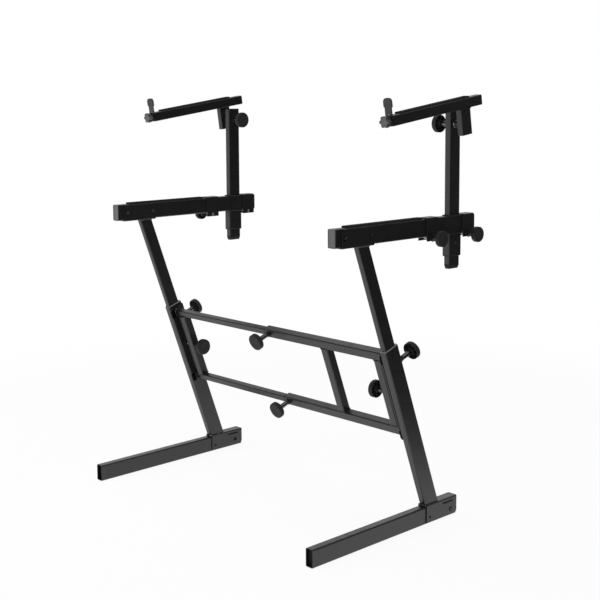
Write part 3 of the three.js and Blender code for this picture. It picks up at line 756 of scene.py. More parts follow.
def soft(name, colour, roughness):
    """Rubber: dull, with fine pores and a grey bloom."""
    look = Surface(name)
    colour = tuple(colour)
    pores = look.noise(0.6, 3.0, 0.7)
    bloom = look.noise(11.0, 4.0, 0.65).band(0.35, 0.8)
    look.set(
        Base_Color=look.mixed(bloom, lighter(colour, 0.85), lighter(colour, 1.6)),
        Roughness=bloom * 0.1 + (roughness - 0.05),
    )
    look.bump(pores, 0.5, 0.06)
    return look.material


def zinc():
    """Bright zinc plate: cloudy, with fine scratches and a darker film in places."""
    look = Surface("zinc_plate")
    colour = tuple(finish().zinc)
    cloud = look.noise(2.6, 4.0, 0.6)
    film = look.noise(6.0, 3.0, 0.6).band(0.45, 0.7)
    look.set(
        Base_Color=look.mixed(film, colour, lighter(colour, 0.62)),
        Metallic=1.0,
        Roughness=cloud * 0.2 + film * 0.12 + 0.18,
    )
    look.bump(look.noise(0.35, 2.0, 0.6), 0.25, 0.02)
    return look.material


def dark_plate():
    """Smooth dark plated metal of the knobs' necks, with faint turning marks."""
    look = Surface("neck_steel")
    cloud = look.noise(5.0, 3.0, 0.6)
    look.set(
        Base_Color=look.mixed(cloud, (0.13, 0.13, 0.132), (0.2, 0.2, 0.2)),
        Metallic=1.0,
        Roughness=cloud * 0.12 + 0.2,
    )
    look.bump(look.noise(0.5, 2.0, 0.5), 0.2, 0.015)
    return look.material


def finishes():
    """Each finish once, by name."""
    makers = {
        "powder_coat": powder_coat,
        "weld_coat": weld_coat,
        "cap_plastic": lambda: moulded("cap_plastic", finish().plastic, 0.38, gloss=1.0),
        "knob_plastic": lambda: moulded("knob_plastic", finish().knob, 0.36, gloss=1.0),
        "lobed_plastic": lambda: moulded("lobed_plastic", finish().lobed, 0.36, gloss=1.0),
        "pad_rubber": lambda: soft("pad_rubber", finish().rubber, 0.85),
        "stop_rubber": lambda: soft("stop_rubber", finish().stop, 0.7),
        "zinc_plate": zinc,
        # Near-black for painted shade, put where gaps, notches and holes only look dark from shadow
        "gap_black": lambda: moulded("gap_black", (0.0015, 0.0015, 0.0015), 0.9, gloss=0.1),
        "plug_plastic": lambda: moulded("plug_plastic", finish().plug, 0.34, gloss=1.0),
        "collar_plastic": lambda: moulded("collar_plastic", finish().collar, 0.28, gloss=1.0),
        "black_steel": lambda: moulded("black_steel", (0.018, 0.018, 0.019), 0.34, 1.2),
        "neck_steel": dark_plate,
    }
    return {name: bpy.data.materials.get(name) or make() for name, make in makers.items()}


def finished(name):
    return finishes()[name]


# Geometry Nodes trees
def node_group(name, sizes):
    """An empty tree with named inputs: a geometry first, then sizes with their defaults."""
    tree = bpy.data.node_groups.new(name, "GeometryNodeTree")
    tree.interface.new_socket("Geometry", in_out="INPUT", socket_type="NodeSocketGeometry")
    kinds = {float: "NodeSocketFloat", int: "NodeSocketInt"}
    for label, value in sizes.items():
        kind = kinds.get(type(value), "NodeSocketMaterial")
        socket = tree.interface.new_socket(label, in_out="INPUT", socket_type=kind)
        if value is not None:
            socket.default_value = value
    tree.interface.new_socket("Geometry", in_out="OUTPUT", socket_type="NodeSocketGeometry")
    nodes = Nodes(tree)
    return nodes, nodes.add("NodeGroupInput").outputs


def close_group(nodes, geometry, material):
    """Ends a tree in Realize Instances and Set Material."""
    real = nodes.add("GeometryNodeRealizeInstances", None, {"Geometry": geometry})
    painted = nodes.add(
        "GeometryNodeSetMaterial", None, {"Geometry": real.outputs[0], "Material": material}
    )
    nodes.add("NodeGroupOutput", None, {0: painted.outputs[0]})
    return nodes.tree


def grown(name, seed_mesh, tree, **inputs):
    """A plain mesh object that a tree makes from a seed mesh."""
    piece = bpy.data.objects.new(name, seed_mesh)
    bpy.context.scene.collection.objects.link(piece)
    modifier = piece.modifiers.new("grow", "NODES")
    modifier.node_group = tree
    for socket in tree.interface.items_tree:
        key = socket.name.lower().replace(" ", "_")
        if socket.in_out == "INPUT" and key in inputs:
            modifier[socket.identifier] = inputs[key]
    bpy.context.view_layer.update()
    return baked(piece)


def known_tree(name, make):
    """A tree that is built once."""
    return bpy.data.node_groups.get(name) or make(name)


def weld_tree(name):
    """A rippled weld bead along a path of edges."""
    nodes, inputs = node_group(name, {"Bead Radius": 1.6, "Ripple": 1.2, "Material": None})
    per_ripple = 4
    curve = nodes.add("GeometryNodeMeshToCurve", None, {"Mesh": inputs["Geometry"]})
    step = Amount(nodes, inputs["Ripple"]) * (1 / per_ripple)
    even = nodes.add(
        "GeometryNodeResampleCurve", {"mode": "LENGTH"}, {"Curve": curve.outputs[0], "Length": step}
    )
    index = Amount(nodes, nodes.add("GeometryNodeInputIndex").outputs[0])
    turn = index * (2 * math.pi / per_ripple)
    lumps = nodes.add("ShaderNodeTexNoise", None, {"Scale": 0.11, "Detail": 2.0})
    uneven = Amount(nodes, lumps.outputs["Fac"]) * 0.7 + 0.65
    swell = (turn.math("SINE", turn) * 0.14 + 1.0) * uneven
    profile = nodes.add(
        "GeometryNodeCurvePrimitiveCircle", None, {"Resolution": 8, "Radius": inputs["Bead Radius"]}
    )
    swept = nodes.add(
        "GeometryNodeCurveToMesh",
        None,
        {
            "Curve": even.outputs[0],
            "Profile Curve": profile.outputs[0],
            "Scale": swell,
            "Fill Caps": True,
        },
    )
    return close_group(nodes, swept.outputs[0], inputs["Material"])


def thread_tree(name):
    """A screw thread: a pointed ridge that winds round the core it is given."""
    sizes = {"Radius": 3.4, "Depth": 0.6, "Pitch": THREAD_PITCH, "Length": 30.0, "Material": None}
    nodes, inputs = node_group(name, sizes)
    turns = Amount(nodes, inputs["Length"]).math("DIVIDE", inputs["Length"], inputs["Pitch"])
    spiral = nodes.add(
        "GeometryNodeCurveSpiral",
        None,
        {
            "Resolution": 20,
            "Rotations": turns,
            "Start Radius": inputs["Radius"],
            "End Radius": inputs["Radius"],
            "Height": inputs["Length"],
        },
    )
    profile = nodes.add(
        "GeometryNodeCurvePrimitiveCircle", None, {"Resolution": 4, "Radius": inputs["Depth"]}
    )
    ridge = nodes.add(
        "GeometryNodeCurveToMesh",
        None,
        {"Curve": spiral.outputs[0], "Profile Curve": profile.outputs[0], "Fill Caps": True},
    )
    both = nodes.add("GeometryNodeJoinGeometry", None, {0: ridge.outputs[0]})
    nodes.tree.links.new(inputs["Geometry"], both.inputs[0])
    return close_group(nodes, both.outputs[0], inputs["Material"])


def ring_tree(name):
    """Ribs set round Z, each standing on the ring's radius."""
    sizes = {"Count": 8, "Radius": 13.0, "Long": 10.0, "Thick": 1.6, "High": 8.0, "Material": None}
    nodes, inputs = node_group(name, sizes)
    circle_points = nodes.add(
        "GeometryNodeMeshCircle", None, {"Vertices": inputs["Count"], "Radius": inputs["Radius"]}
    )
    measures = nodes.add(
        "ShaderNodeCombineXYZ",
        None,
        {"X": inputs["Long"], "Y": inputs["Thick"], "Z": inputs["High"]},
    )
    rib = nodes.add("GeometryNodeMeshCube", None, {"Size": measures.outputs[0]})
    place = nodes.add("GeometryNodeInputPosition")
    aim = nodes.add(
        "FunctionNodeAlignRotationToVector",
        {"axis": "X", "pivot_axis": "Z"},
        {"Vector": place.outputs[0]},
    )
    set_out = nodes.add(
        "GeometryNodeInstanceOnPoints",
        None,
        {
            "Points": circle_points.outputs[0],
            "Instance": rib.outputs[0],
            "Rotation": aim.outputs[0],
        },
    )
    return close_group(nodes, set_out.outputs[0], inputs["Material"])


def scatter_tree(name):
    """A copy of one solid at every point, its Z along the point's aim."""
    nodes, inputs = node_group(name, {"Material": None})
    nodes.tree.interface.new_socket("Solid", in_out="INPUT", socket_type="NodeSocketObject")
    solid = nodes.add("GeometryNodeObjectInfo", None, {"Object": inputs["Solid"]})
    aim = nodes.add(
        "GeometryNodeInputNamedAttribute", {"data_type": "FLOAT_VECTOR"}, {"Name": "aim"}
    )
    turn = nodes.add(
        "FunctionNodeAlignRotationToVector", {"axis": "Z"}, {"Vector": aim.outputs["Attribute"]}
    )
    set_out = nodes.add(
        "GeometryNodeInstanceOnPoints",
        None,
        {
            "Points": inputs["Geometry"],
            "Instance": solid.outputs["Geometry"],
            "Rotation": turn.outputs[0],
        },
    )
    return close_group(nodes, set_out.outputs[0], inputs["Material"])


# Parts that several pieces share
def path_mesh(points):
    """A seed mesh: a closed path of edges, or a single point."""
    count = len(points)
    edges = [(k, (k + 1) % count) for k in range(count)] if count > 1 else []
    mesh = bpy.data.meshes.new("path")
    mesh.from_pydata(points, edges, [])
    return mesh


def bead(points, radius):
    """A weld bead round a closed path, in millimetres."""
    piece = grown(
        "bead",
        path_mesh(points),
        known_tree("weld_bead", weld_tree),
        bead_radius=radius,
        ripple=radius * 0.85,
        material=finished("weld_coat"),
    )
    return smooth(piece)


def boss_bead(height):
    """The weld round the foot of a boss that stands along Z."""
    return bead(lifted(circle(knobs().boss + 0.4, steps=48), height), BEADS["boss"])


def screw_head(radius, height):
    """Button head with a washer face and a hexagon socket, seated at Z = 0."""
    washer = turned(
        [(0, 0), (radius + 1.6, 0), (radius + 1.9, 0.3), (radius + 1.9, 1.0), (radius + 1.6, 1.3), (0, 1.3)]
    )
    dome = [(0, 1.0), (radius, 1.0), (radius, 2.0)]
    for step in range(1, 6):
        turn = step / 6 * math.pi / 2
        dome.append((radius * (1 - 0.45 * math.sin(turn) ** 2), 2.0 + (height - 0.8) * math.sin(turn)))
    dome.append((radius * 0.5, height + 1.2))
    dome.append((0, height + 1.2))
    socket = prism(circle(radius * 0.36, steps=6), "Z", height - 1.2, height + 3.0)
    head = cut(turned(dome), socket)
    return eased(gather("head", [washer, head]), 0.0)


def screws_in_painted_shade_rings(radius, spots):
    """Button heads, one at each spot, in near-black rings of painted shade that stand in for a hole's
    shadow round each head; no hole is cut.
    """
    ring = turned([(0, 0), (radius, 0), (radius, 0.3), (radius - 0.3, 0.6), (0, 0.6)], 48)
    core = radius * 0.58
    head = turned([(0, 0.4), (core, 0.4), (core, 1.5), (core - 0.4, 2.1), (core * 0.5, 2.5), (0, 2.6)], 48)
    head = cut(head, prism(circle(core * 0.42, steps=6), "Z", 1.7, 4.0))
    # The rings are painted shade; the heads' weld coat carries painted glints
    rings = scattered("rings", ring, spots, finished("gap_black"))
    heads = scattered("heads", head, spots, finished("weld_coat"))
    return gather("screws", [rings, heads])


def lock_nuts(spots):
    """Hexagon nuts with a washer face and the screw's end standing through, one at each spot."""
    radius = 5.4
    height = 4.6
    washer = turned([(0, 0), (radius + 1.6, 0), (radius + 1.6, 1.2), (0, 1.2)])
    body = eased(prism(circle(radius, steps=6), "Z", 1.2, height), 0.5)
    low, high = height - 0.4, height + 1.3
    collar = turned([(0, low), (4.6, low), (4.6, height + 0.9), (4.1, high), (0, high)])
    tip = turned([(0, 1.2), (2.9, 1.2), (2.9, height + 2.0), (2.4, height + 2.6), (0, height + 2.6)])
    nut = gather("nut", [washer, body, collar, tip])
    return scattered("nuts", nut, spots, finished("black_steel"))


def scattered(name, solid, spots, material):
    """One mesh with a copy of a solid at each spot (position, direction)."""
    mesh = bpy.data.meshes.new(name)
    mesh.from_pydata([spot for spot, _ in spots], [], [])
    aim = mesh.attributes.new("aim", "FLOAT_VECTOR", "POINT")
    aim.data.foreach_set("vector", [value for _, way in spots for value in way])
    piece = grown(name, mesh, known_tree("screw_set", scatter_tree), solid=solid, material=material)
    bpy.data.objects.remove(solid)
    for layer in [a for a in piece.data.attributes if a.name == "aim"]:
        piece.data.attributes.remove(layer)
    piece.data.polygons.foreach_set("use_smooth", [False] * len(piece.data.polygons))
    return piece


def stepped(section, axis, steps, least=0.5):
    """A solid of one section through (inset, along) steps on an axis."""
    rings = [inset_ring(section, inset, axis, along, least=least) for inset, along in steps]
    return eased(loft(rings), 0.0)


def guide_ring(axis, outer, outer_middle, outside, inner, inner_middle, inside):
    """A guide between two tubes, from (inset, along) steps outside and (grow, along) steps inside."""
    rings = [inset_ring(outer, inset, axis, along, *outer_middle) for inset, along in outside]
    rings += [inset_ring(inner, -grow, axis, along, *inner_middle) for grow, along in inside]
    return eased(loft(rings, closed=True), 0.0)


def end_plug(section, wall):
    """Plug for the end of a tube that looks along -Y, its flange just ahead of Y = 0."""
    flange = 2.3
    dish = 1.2
    rim = 2.6
    skirt = 16.0
    fit = wall + CLEARANCE
    steps = [
        (fit + 1.8, skirt),
        (fit + 0.4, skirt),
        (fit, skirt - 1.0),
        (fit, 0.0),
        (0.1, 0.0),
        (0.0, -0.2),
        (0.0, -flange + 0.9),
        (0.28, -flange + 0.28),
        (0.9, -flange),
        (rim - 0.7, -flange),
        (rim - 0.2, -flange + 0.3),
        (rim + 0.3, -flange + dish),
    ]
    return stepped(section, "Y", steps, least=0.4)


def sunk_plug(section, wall):
    """Plug that sits inside the end of a tube that looks along -Y, with a dished face."""
    recess = 10.0
    skirt = 14.0
    fit = wall + tubes().play
    steps = [
        (fit + 2.0, recess + skirt),
        (fit + 0.4, recess + skirt),
        (fit, recess + skirt - 1.0),
        (fit, recess + 0.6),
        (fit + 0.5, recess),
        (fit + 1.8, recess),
        (fit + 2.3, recess + 0.5),
        (fit + 2.8, recess + 1.6),
    ]
    return stepped(section, "Y", steps)


def both_ends(length):
    """Where plugs go in the front and in the rear end of a tube along Y."""
    return ("front", shift(0, 0, 0)), ("rear", shift(0, length, 0, math.pi, "Z"))


def foot_openings():
    """Cutters for the slot and the small hole through the saddle and the foot."""
    reach = tubes().wide_width
    top = tubes().wide_height / 2
    slot_length = 42.0
    slot_height = 3.7
    slot_end = slot_height / 2 - 0.01
    slot_spot = (LEG_FOOT_Y + 86.0, top - 5.6)
    hole_radius = 3.3
    hole_spot = (LEG_FOOT_Y + 13.5, top - 29.5)
    slot = prism(rounded(slot_length, slot_height, slot_end, *slot_spot), "X", -reach, reach)
    hole = prism(circle(hole_radius, *hole_spot), "X", -reach, reach)
    return slot, hole


def saddle_plate(length, height):
    """U of folded plate that runs along Y, its web's top at Z = 0 and its sides above."""
    t = tubes()
    half = t.wide_width / 2 + t.play
    plate = t.saddle
    inner_bend = 0.8
    outer_bend = plate + inner_bend
    outline = []
    for side in (1, -1):
        arcs = []
        for radius, inset in ((outer_bend, 0.0), (inner_bend, plate)):
            x = half + plate - inset - radius
            z = -plate + inset + radius
            turns = [-math.pi / 2 + step * math.pi / 12 for step in range(7)]
            arcs.append([(side * (x + radius * math.cos(a)), z + radius * math.sin(a)) for a in turns])
        ends = [(side * (half + plate), height), (side * half, height)]
        half_outline = arcs[0] + ends + arcs[1][::-1]
        outline += half_outline if side > 0 else half_outline[::-1]
    return prism(outline, "Y", 0.0, length)


def corners_off(plate, ends, height, square):
    """Cuts slanted corners off the sides of a saddle at its ends."""
    reach = tubes().wide_width
    half = square / 2
    for end in ends:
        tool = block((-reach, reach), (-half, half), (-half, half))
        plate = cut(plate, moved(tool, shift(0, end, height, math.pi / 4, "X")))
    return plate


def on_saddle(way, spots):
    """Spots on the side of a saddle that looks right (1) or left (-1), facing out."""
    return [((way * saddle_face(), y, z), (way, 0, 0)) for y, z in spots]


def slanted_tube(section, wall, low, high, middle):
    """Tube along Z whose ends follow a slope: low and high give Z for a depth."""
    width, depth, corner = section
    outside = rounded(width, depth, corner, 0.0, middle)
    inner = max(corner - wall, wall / 2)
    inside = rounded(width - 2 * wall, depth - 2 * wall, inner, 0.0, middle)
    rings = [
        [(u, v, low(v)) for u, v in outside],
        [(u, v, high(v)) for u, v in outside],
        [(u, v, high(v)) for u, v in inside],
        [(u, v, low(v)) for u, v in inside],
    ]
    return loft(rings, closed=True)


def boss_ring(start, end):
    """Welded nut boss along Z with its bore, chamfered at its free end."""
    k = knobs()
    bore = k.stud + 0.25
    chamfer = 0.8
    mouth = 0.6
    rings = [
        (bore, start),
        (k.boss, start),
        (k.boss, end - chamfer),
        (k.boss - chamfer, end),
        (bore + mouth, end),
        (bore, end - mouth),
    ]
    return eased(loft(round_rings(rings, 40), closed=True), 0.0)


def boss_with_bead(position, direction):
    """A boss on a tube's face with the weld round its foot."""
    ring = boss_ring(-0.6, knobs().boss_length)
    place = facing(position, direction)
    return [moved(ring, place), moved(boss_bead(0.3), place)]


class MakeFeet(bpy.types.Operator):
    """Make the foot tubes with their end plugs"""

    bl_idname = "stand.feet"
    bl_label = "Feet"

    def execute(self, context):
        t = tubes()
        section = wide_section()
        for side, name in SIDES:
            body = f"{name}_side"
            place = foot_place(side)
            foot = tube(section, "Y", 0.0, t.foot_length, t.wide_wall)
            foot = eased(cut(foot, *foot_openings()), TUBE_EDGE)
            done(foot, f"foot_{name}", place, body, "powder_coat", f"foot_tube_{name}")
            for end, turn in both_ends(t.foot_length):
                plug = moved(sunk_plug(section, t.wide_wall), turn)
                done(plug, f"foot_plug_{end}_{name}", place, body, "cap_plastic", f"foot_cap_{end}_{name}")
        return {"FINISHED"}


class MakeLowerLegs(bpy.types.Operator):
    """Make the lower legs with their saddles, welds and screws"""

    bl_idname = "stand.lower_legs"
    bl_label = "Lower legs"

    saddle_length: size("Saddle length", "Along the foot", 123.0)
    side_height: size("Saddle sides", "Height of the saddle's sides", 45.8)
    corner_square: size("Saddle corners", "Square that is cut off each rear corner", 8.5)

    def execute(self, context):
        t = tubes()
        slope = math.tan(LEG_TILT)
        section = outer_section()
        middle = t.outer_depth / 2
        height = knobs().leg_height
        for side, name in SIDES:
            body = f"{name}_side"
            leg = slanted_tube(
                section, t.wall, lambda n: -n * slope - 0.4, lambda n: t.outer_length, middle
            )
            rear_hole = stud_hole("Y", middle, t.outer_depth + 5, 0.0, height)
            side_hole = stud_hole("X", 0.0, -side * t.outer_width, bar_middle(), side_knob_height())
            leg = eased(cut(leg, rear_hole, side_hole), 0.3)
            boss = boss_with_bead((0, t.outer_depth, height), (0, 1, 0))
            leg = gather("leg", [leg, *boss])
            done(leg, f"leg_{name}", leg_place(side), body, "powder_coat", f"leg_lower_{name}")

            plate = saddle_plate(self.saddle_length, self.side_height)
            plate = corners_off(plate, (self.saddle_length,), self.side_height, self.corner_square)
            turn_over = shift(0, LEG_FOOT_Y, t.wide_height / 2 + t.play, math.pi, "Y")
            moved(plate, turn_over @ shift(0, 0, -t.saddle))
            plate = eased(cut(plate, *foot_openings()), t.rounding)
            place = foot_place(side)
            done(plate, f"foot_saddle_{name}", place, body, "powder_coat")

            outline = around(section, 1.2, 0.0, middle)
            base = bead([(u, v, -v * slope + 0.4) for u, v in outline], BEADS["foot"])
            done(base, f"foot_weld_{name}", leg_place(side), body)

            spots = [(y, z - t.wide_height / 2) for y, z in FOOT_SCREWS]
            nuts = lock_nuts(on_saddle(-side, spots))
            cups = screws_in_painted_shade_rings(SHADE_RING_RADII["foot"], on_saddle(side, spots))
            done(cups, f"foot_cups_{name}", place, body)
            done(nuts, f"foot_nuts_{name}", place, body)
        return {"FINISHED"}


class MakeGuides(bpy.types.Operator):
    """Make the plastic guides in the outer tubes' ends"""

    bl_idname = "stand.guides"
    bl_label = "Guides"

    flange: size("Flange", "Thickness of a guide's flange", 2.5)
    depth: size("Depth", "How far a guide reaches into its tube", 26.0)

    def ring(self, outer, inner, inner_middle):
        """A guide on the outer tube's section, which starts at Y = 0, open for the inner tube."""
        t = tubes()
        fit = t.wall + t.play
        top = t.play + self.flange
        outside = [
            (fit, -self.depth),
            (fit, 0.02),
            (0.0, 0.02),
            (0.0, top - 2.3),
            (0.2, top - 1.9),
            (1.9, top - 0.1),
            (2.1, top),
        ]
        inside = [(t.play + 0.5, top), (t.play, top - 0.5), (t.play, -self.depth)]
        middle = outer[1] / 2
        return guide_ring("Z", outer, (0.0, middle), outside, inner, (0.0, inner_middle), inside)

    def execute(self, context):
        t = tubes()
        for side, name in SIDES:
            leg = self.ring(outer_section(), inner_section(), t.inner_setback + t.inner_depth / 2)
            moved(leg, shift(0, 0, t.outer_length))
            body = f"{name}_side"
            done(leg, f"leg_collar_{name}", leg_place(side), body, "collar_plastic", f"leg_guide_{name}")
            sleeve = self.ring(sleeve_section(), post_section(), t.sleeve_depth / 2)
            moved(sleeve, shift(0, t.sleeve_depth / 2, t.sleeve_bottom, math.pi, "X"))
            body = f"upper_{name}"
            label = f"sleeve_collar_{name}"
            done(sleeve, label, post_place(side), body, "cap_plastic", f"sleeve_guide_{name}")
        return {"FINISHED"}


class MakeCrossbars(bpy.types.Operator):
    """Make the crossbar frames with their flange plates, bushes, welds and screws"""

    bl_idname = "stand.crossbars"
    bl_label = "Crossbars"

    screw_inset: size("Screws", "Ahead of the flange plate's rear edge", 11.0)
    screw_drop: size("Screw drop", "The outer screws below the crossbars' middles", 2.0)
    lid: size("Lid", "Thickness of the lids in the left upright's ends", 1.5)

    def execute(self, context):
        t = tubes()
        c = crossbars()
        place = crossbar_place()
        leg_face = LEG_MIDDLE_X - t.outer_width / 2 - t.play
        inner_x = leg_face - c.plate
        plate_x = leg_face - c.seam
        for side, name in SIDES:
            body = f"{name}_side"
            bars, bar_beads = self.bars(side, inner_x)
            uprights, upright_beads = self.uprights(side, inner_x)
            parts = [*bars, *uprights, self.flange_plate(side, inner_x, plate_x)]
            for part in parts:
                if not part.data.materials:
                    part.data.materials.append(finished("powder_coat"))
            # Painted shade: near-black blocks fill the plate's notches
            painted_shade_liners = self.painted_shade_liners(side, inner_x, plate_x)
            whole = gather("frame", [*parts, *bar_beads, *upright_beads, *painted_shade_liners])
            done(whole, f"crossbars_{name}", place, body, None, f"crossbar_frame_{name}")

            rear = t.outer_depth - self.screw_inset
            heights = (c.lower - self.screw_drop, c.upper - self.screw_drop, side_knob_height())
            heads = [((side * inner_x, rear, height), (-side, 0, 0)) for height in heights]
            screws = scattered("screws", screw_head(4.2, 2.2), heads, finished("neck_steel"))
            done(screws, f"flange_screws_{name}", place, body)

        for label, level in (("lower", c.lower), ("upper", c.upper)):
            node = f"crossbar_bush_{label}"
            done(self.bush(level), f"bush_{label}", place, "right_side", "cap_plastic", node)
        return {"FINISHED"}

    def bars(self, side, inner_x):
        """Both crossbars of a side with their knobs' bosses, and their welds."""
        t = tubes()
        c = crossbars()
        middle = bar_middle()
        if side > 0:
            section = (c.thick, c.thick, c.thick_corner)
            wall = c.thick_wall
            free_end = -c.thick_reach
        else:
            section = (c.thin, c.thin, c.thin_corner)
            wall = t.wall
            free_end = c.thin_reach
        ends = sorted((free_end, side * (inner_x + OVERLAP)))
        parts = []
        beads = []
        for level in (c.lower, c.upper):
            bar = tube(section, "X", *ends, wall, middle, level)
            if side > 0:
                bar = cut(bar, stud_hole("Y", 0.0, middle, BAR_KNOB_X, level))
                parts += boss_with_bead((BAR_KNOB_X, c.setback, level), (0, -1, 0))
            parts.append(eased(bar, TUBE_EDGE))
            outline = around(section, 0.8, middle, level)
            beads.append(bead([(side * inner_x, u, v) for u, v in outline], BEADS["bar"]))
        return parts, beads

    def uprights(self, side, inner_x):
        """The upright with its knob's boss and the right-hand brace, and their welds."""
        c = crossbars()
        middle = bar_middle()
        section = (c.thick, c.thick, c.thick_corner)
        bar = c.thick if side > 0 else c.thin
        low = c.lower + bar / 2 - 0.2
        high = c.upper - bar / 2 + 0.2
        upright_x = inner_x - c.upright_gap - c.thick / 2
        parts = []
        beads = []
        for x in [side * upright_x] + ([c.brace_x] if side > 0 else []):
            upright = tube(section, "Z", low, high, c.thick_wall, x, middle)
            if x != c.brace_x:
                hole = stud_hole("X", x - c.thick, x + c.thick, middle, side_knob_height())
                upright = cut(upright, hole)
            if side < 0:
                for ends in ((low, low + self.lid), (high - self.lid, high)):
                    parts.append(eased(prism(around(section, -0.1, x, middle), "Z", *ends), 0.0))
            parts.append(eased(upright, 0.15))
            for z in (low + 0.4, high - 0.4):
                outline = around(section, 0.6, x, middle)
                beads.append(bead(lifted(outline, z), BEADS["upright"]))
        boss_x = side * (upright_x - c.thick / 2)
        parts += boss_with_bead((boss_x, middle, side_knob_height()), (-side, 0, 0))
        return parts, beads

    def flange_plate(self, side, inner_x, plate_x):
        """The plate on the leg with its front notches and the side knob's hole."""
        t = tubes()
        c = crossbars()
        low = c.lower - c.plate_below
        high = c.upper + c.plate_above
        outline = rounded(t.outer_depth, high - low, 3.0, t.outer_depth / 2, (low + high) / 2)
        plate = prism(outline, "X", *sorted((side * inner_x, side * plate_x)))
        through = sorted((side * (inner_x - 2), side * (plate_x + 2)))
        tools = []
        for level in (c.lower, c.upper):
            notch = rounded(2 * c.notch_depth, c.notch_height, 2.0, 0.0, level)
            tools.append(prism(notch, "X", *through))
        tools.append(stud_hole("X", *through, bar_middle(), side_knob_height()))
        return eased(cut(plate, *tools), t.rounding)

    def painted_shade_liners(self, side, inner_x, plate_x):
        """Near-black blocks in the plate's notches: painted shade that stands in for the shadow seen into
        them.
        """
        c = crossbars()
        half = c.notch_height / 2 - 0.2
        across = sorted((side * (inner_x - 2.2), side * (plate_x + 0.5)))
        made = []
        for level in (c.lower, c.upper):
            painted_shade_block = block(across, (0.5, c.setback + 0.2), (level - half, level + half))
            painted_shade_block.data.materials.append(finished("gap_black"))
            made.append(painted_shade_block)
        return made

    def bush(self, level):
        """Plastic bush in a thick bar's open end."""
        c = crossbars()
        play = tubes().play
        fit = c.thick_wall + play
        seat = -c.thick_reach
        free = seat - 2.3
        outside = [
            (fit, seat + 8.0),
            (fit, seat - 0.02),
            (0.0, seat - 0.02),
            (0.0, free + 0.5),
            (0.15, free + 0.15),
            (0.5, free),
        ]
        inside = [(play + 0.4, free), (play, free + 0.4), (play, seat + 8.0)]
        thick = (c.thick, c.thick, c.thick_corner)
        thin = (c.thin, c.thin, c.thin_corner)
        middle = (bar_middle(), level)
        return guide_ring("X", thick, middle, outside, thin, middle, inside)


class MakeUpperLegs(bpy.types.Operator):
    """Make the upper legs with the saddles that carry the lower arms"""

    bl_idname = "stand.upper_legs"
    bl_label = "Upper legs"

    saddle_start: size("Saddle front", "Behind the arm's front end", 21.0)
    saddle_length: size("Saddle length", "Along the arm", 111.0)
    side_height: size("Saddle sides", "Height of the saddle's sides", 45.0)
    corner_square: size("Saddle corners", "Square that is cut off each corner", 6.0)

    def execute(self, context):
        t = tubes()
        section = inner_section()
        middle = t.inner_setback + t.inner_depth / 2
        web = t.arm_bottom - t.play - t.saddle - web_top()
        sine, cosine = math.sin(LEG_TILT), math.cos(LEG_TILT)

        def top(n):
            return (web + OVERLAP - n * sine) / cosine

        for side, name in SIDES:
            body = f"upper_{name}"
            leg = slanted_tube(section, t.wall, lambda n: t.inner_foot, top, middle)
            leg = eased(leg, TUBE_EDGE)
            done(leg, f"upper_leg_{name}", leg_place(side), body, "powder_coat", f"leg_upper_{name}")
            outline = around(section, 1.0, 0.0, middle)
            weld_ring = bead([(u, v, top(v) - 0.9) for u, v in outline], BEADS["arm"])
            done(weld_ring, f"arm_weld_{name}", leg_place(side), body)

            plate = saddle_plate(self.saddle_length, self.side_height)
            ends = (0.0, self.saddle_length)
            plate = corners_off(plate, ends, self.side_height, self.corner_square)
            plate = eased(plate, t.rounding)
            moved(plate, shift(0, self.saddle_start, -t.wide_height / 2 - t.play))
            place = arm_place(side)
            done(plate, f"arm_saddle_{name}", place, body, "powder_coat")

            cup, small = on_saddle(side, ARM_SCREWS)
            done(screws_in_painted_shade_rings(SHADE_RING_RADII["arm"], [cup]), f"arm_cup_{name}", place, body)
            done(screws_in_painted_shade_rings(SHADE_RING_RADII["small"], [small]), f"arm_screw_{name}", place, body)
            done(lock_nuts(on_saddle(-side, ARM_SCREWS)), f"arm_nuts_{name}", place, body)
        return {"FINISHED"}


class MakeArms(bpy.types.Operator):
    """Make the lower arms with their sleeves, plugs and pads"""

    bl_idname = "stand.arms"
    bl_label = "Lower arms"

    lip: size("Sleeve lip", "How far the sleeve stands above the arm", 2.5)
    pad_front: size("Pad front", "Behind the arm's front end", 42.0)
    pad_length: size("Pad length", "Along the arm", 276.5)
    pad_width: size("Pad width", "Across the pad", 19.0)
    pad_height: size("Pad height", "Height of the pad", 4.0)
    screw_drop: size("Screw drop", "The sleeve's small screw below the arm", 27.0)

    def execute(self, context):
        t = tubes()
        section = wide_section()
        half = t.wide_height / 2
        sleeve_y = t.arm_length - t.post_inset
        low = t.sleeve_bottom - t.arm_bottom - half
        high = half + self.lip
        for side, name in SIDES:
            body = f"upper_{name}"
            place = arm_place(side)
            arm = tube(section, "Y", 0.0, t.arm_length, t.wide_wall)
            clear = prism(around(sleeve_section(), -1.0, 0.0, sleeve_y), "Z", low, high)
            arm = eased(cut(arm, clear), TUBE_EDGE)
            sleeve = eased(tube(sleeve_section(), "Z", low, high, t.wall, 0.0, sleeve_y), 0.3)
            ring = around(sleeve_section(), 1.0, 0.0, sleeve_y)
            beads = [bead(lifted(ring, z), BEADS["sleeve"]) for z in (half + 0.2, -half - 0.2)]
            arm = gather("arm", [arm, sleeve, *beads])
            done(arm, f"lower_arm_{name}", place, body, "powder_coat", f"arm_{name}")

            for end, turn in both_ends(t.arm_length):
                plug = moved(end_plug(section, t.wide_wall), turn)
                done(plug, f"arm_plug_{end}_{name}", place, body, "plug_plastic", f"arm_cap_{end}_{name}")

            pad_end = self.pad_front + self.pad_length
            pad = grooved_pad(self.pad_width, self.pad_height, self.pad_front, pad_end)
            moved(pad, shift(0, 0, half))
            done(pad, f"lower_pad_{name}", place, body, "pad_rubber", f"arm_pad_{name}")

            spot = [((side * t.sleeve_width / 2, sleeve_y, -half - self.screw_drop), (side, 0, 0))]
            screw = scattered("screws", screw_head(2.6, 1.6), spot, finished("black_steel"))
            done(screw, f"sleeve_screw_{name}", place, body)
        return {"FINISHED"}


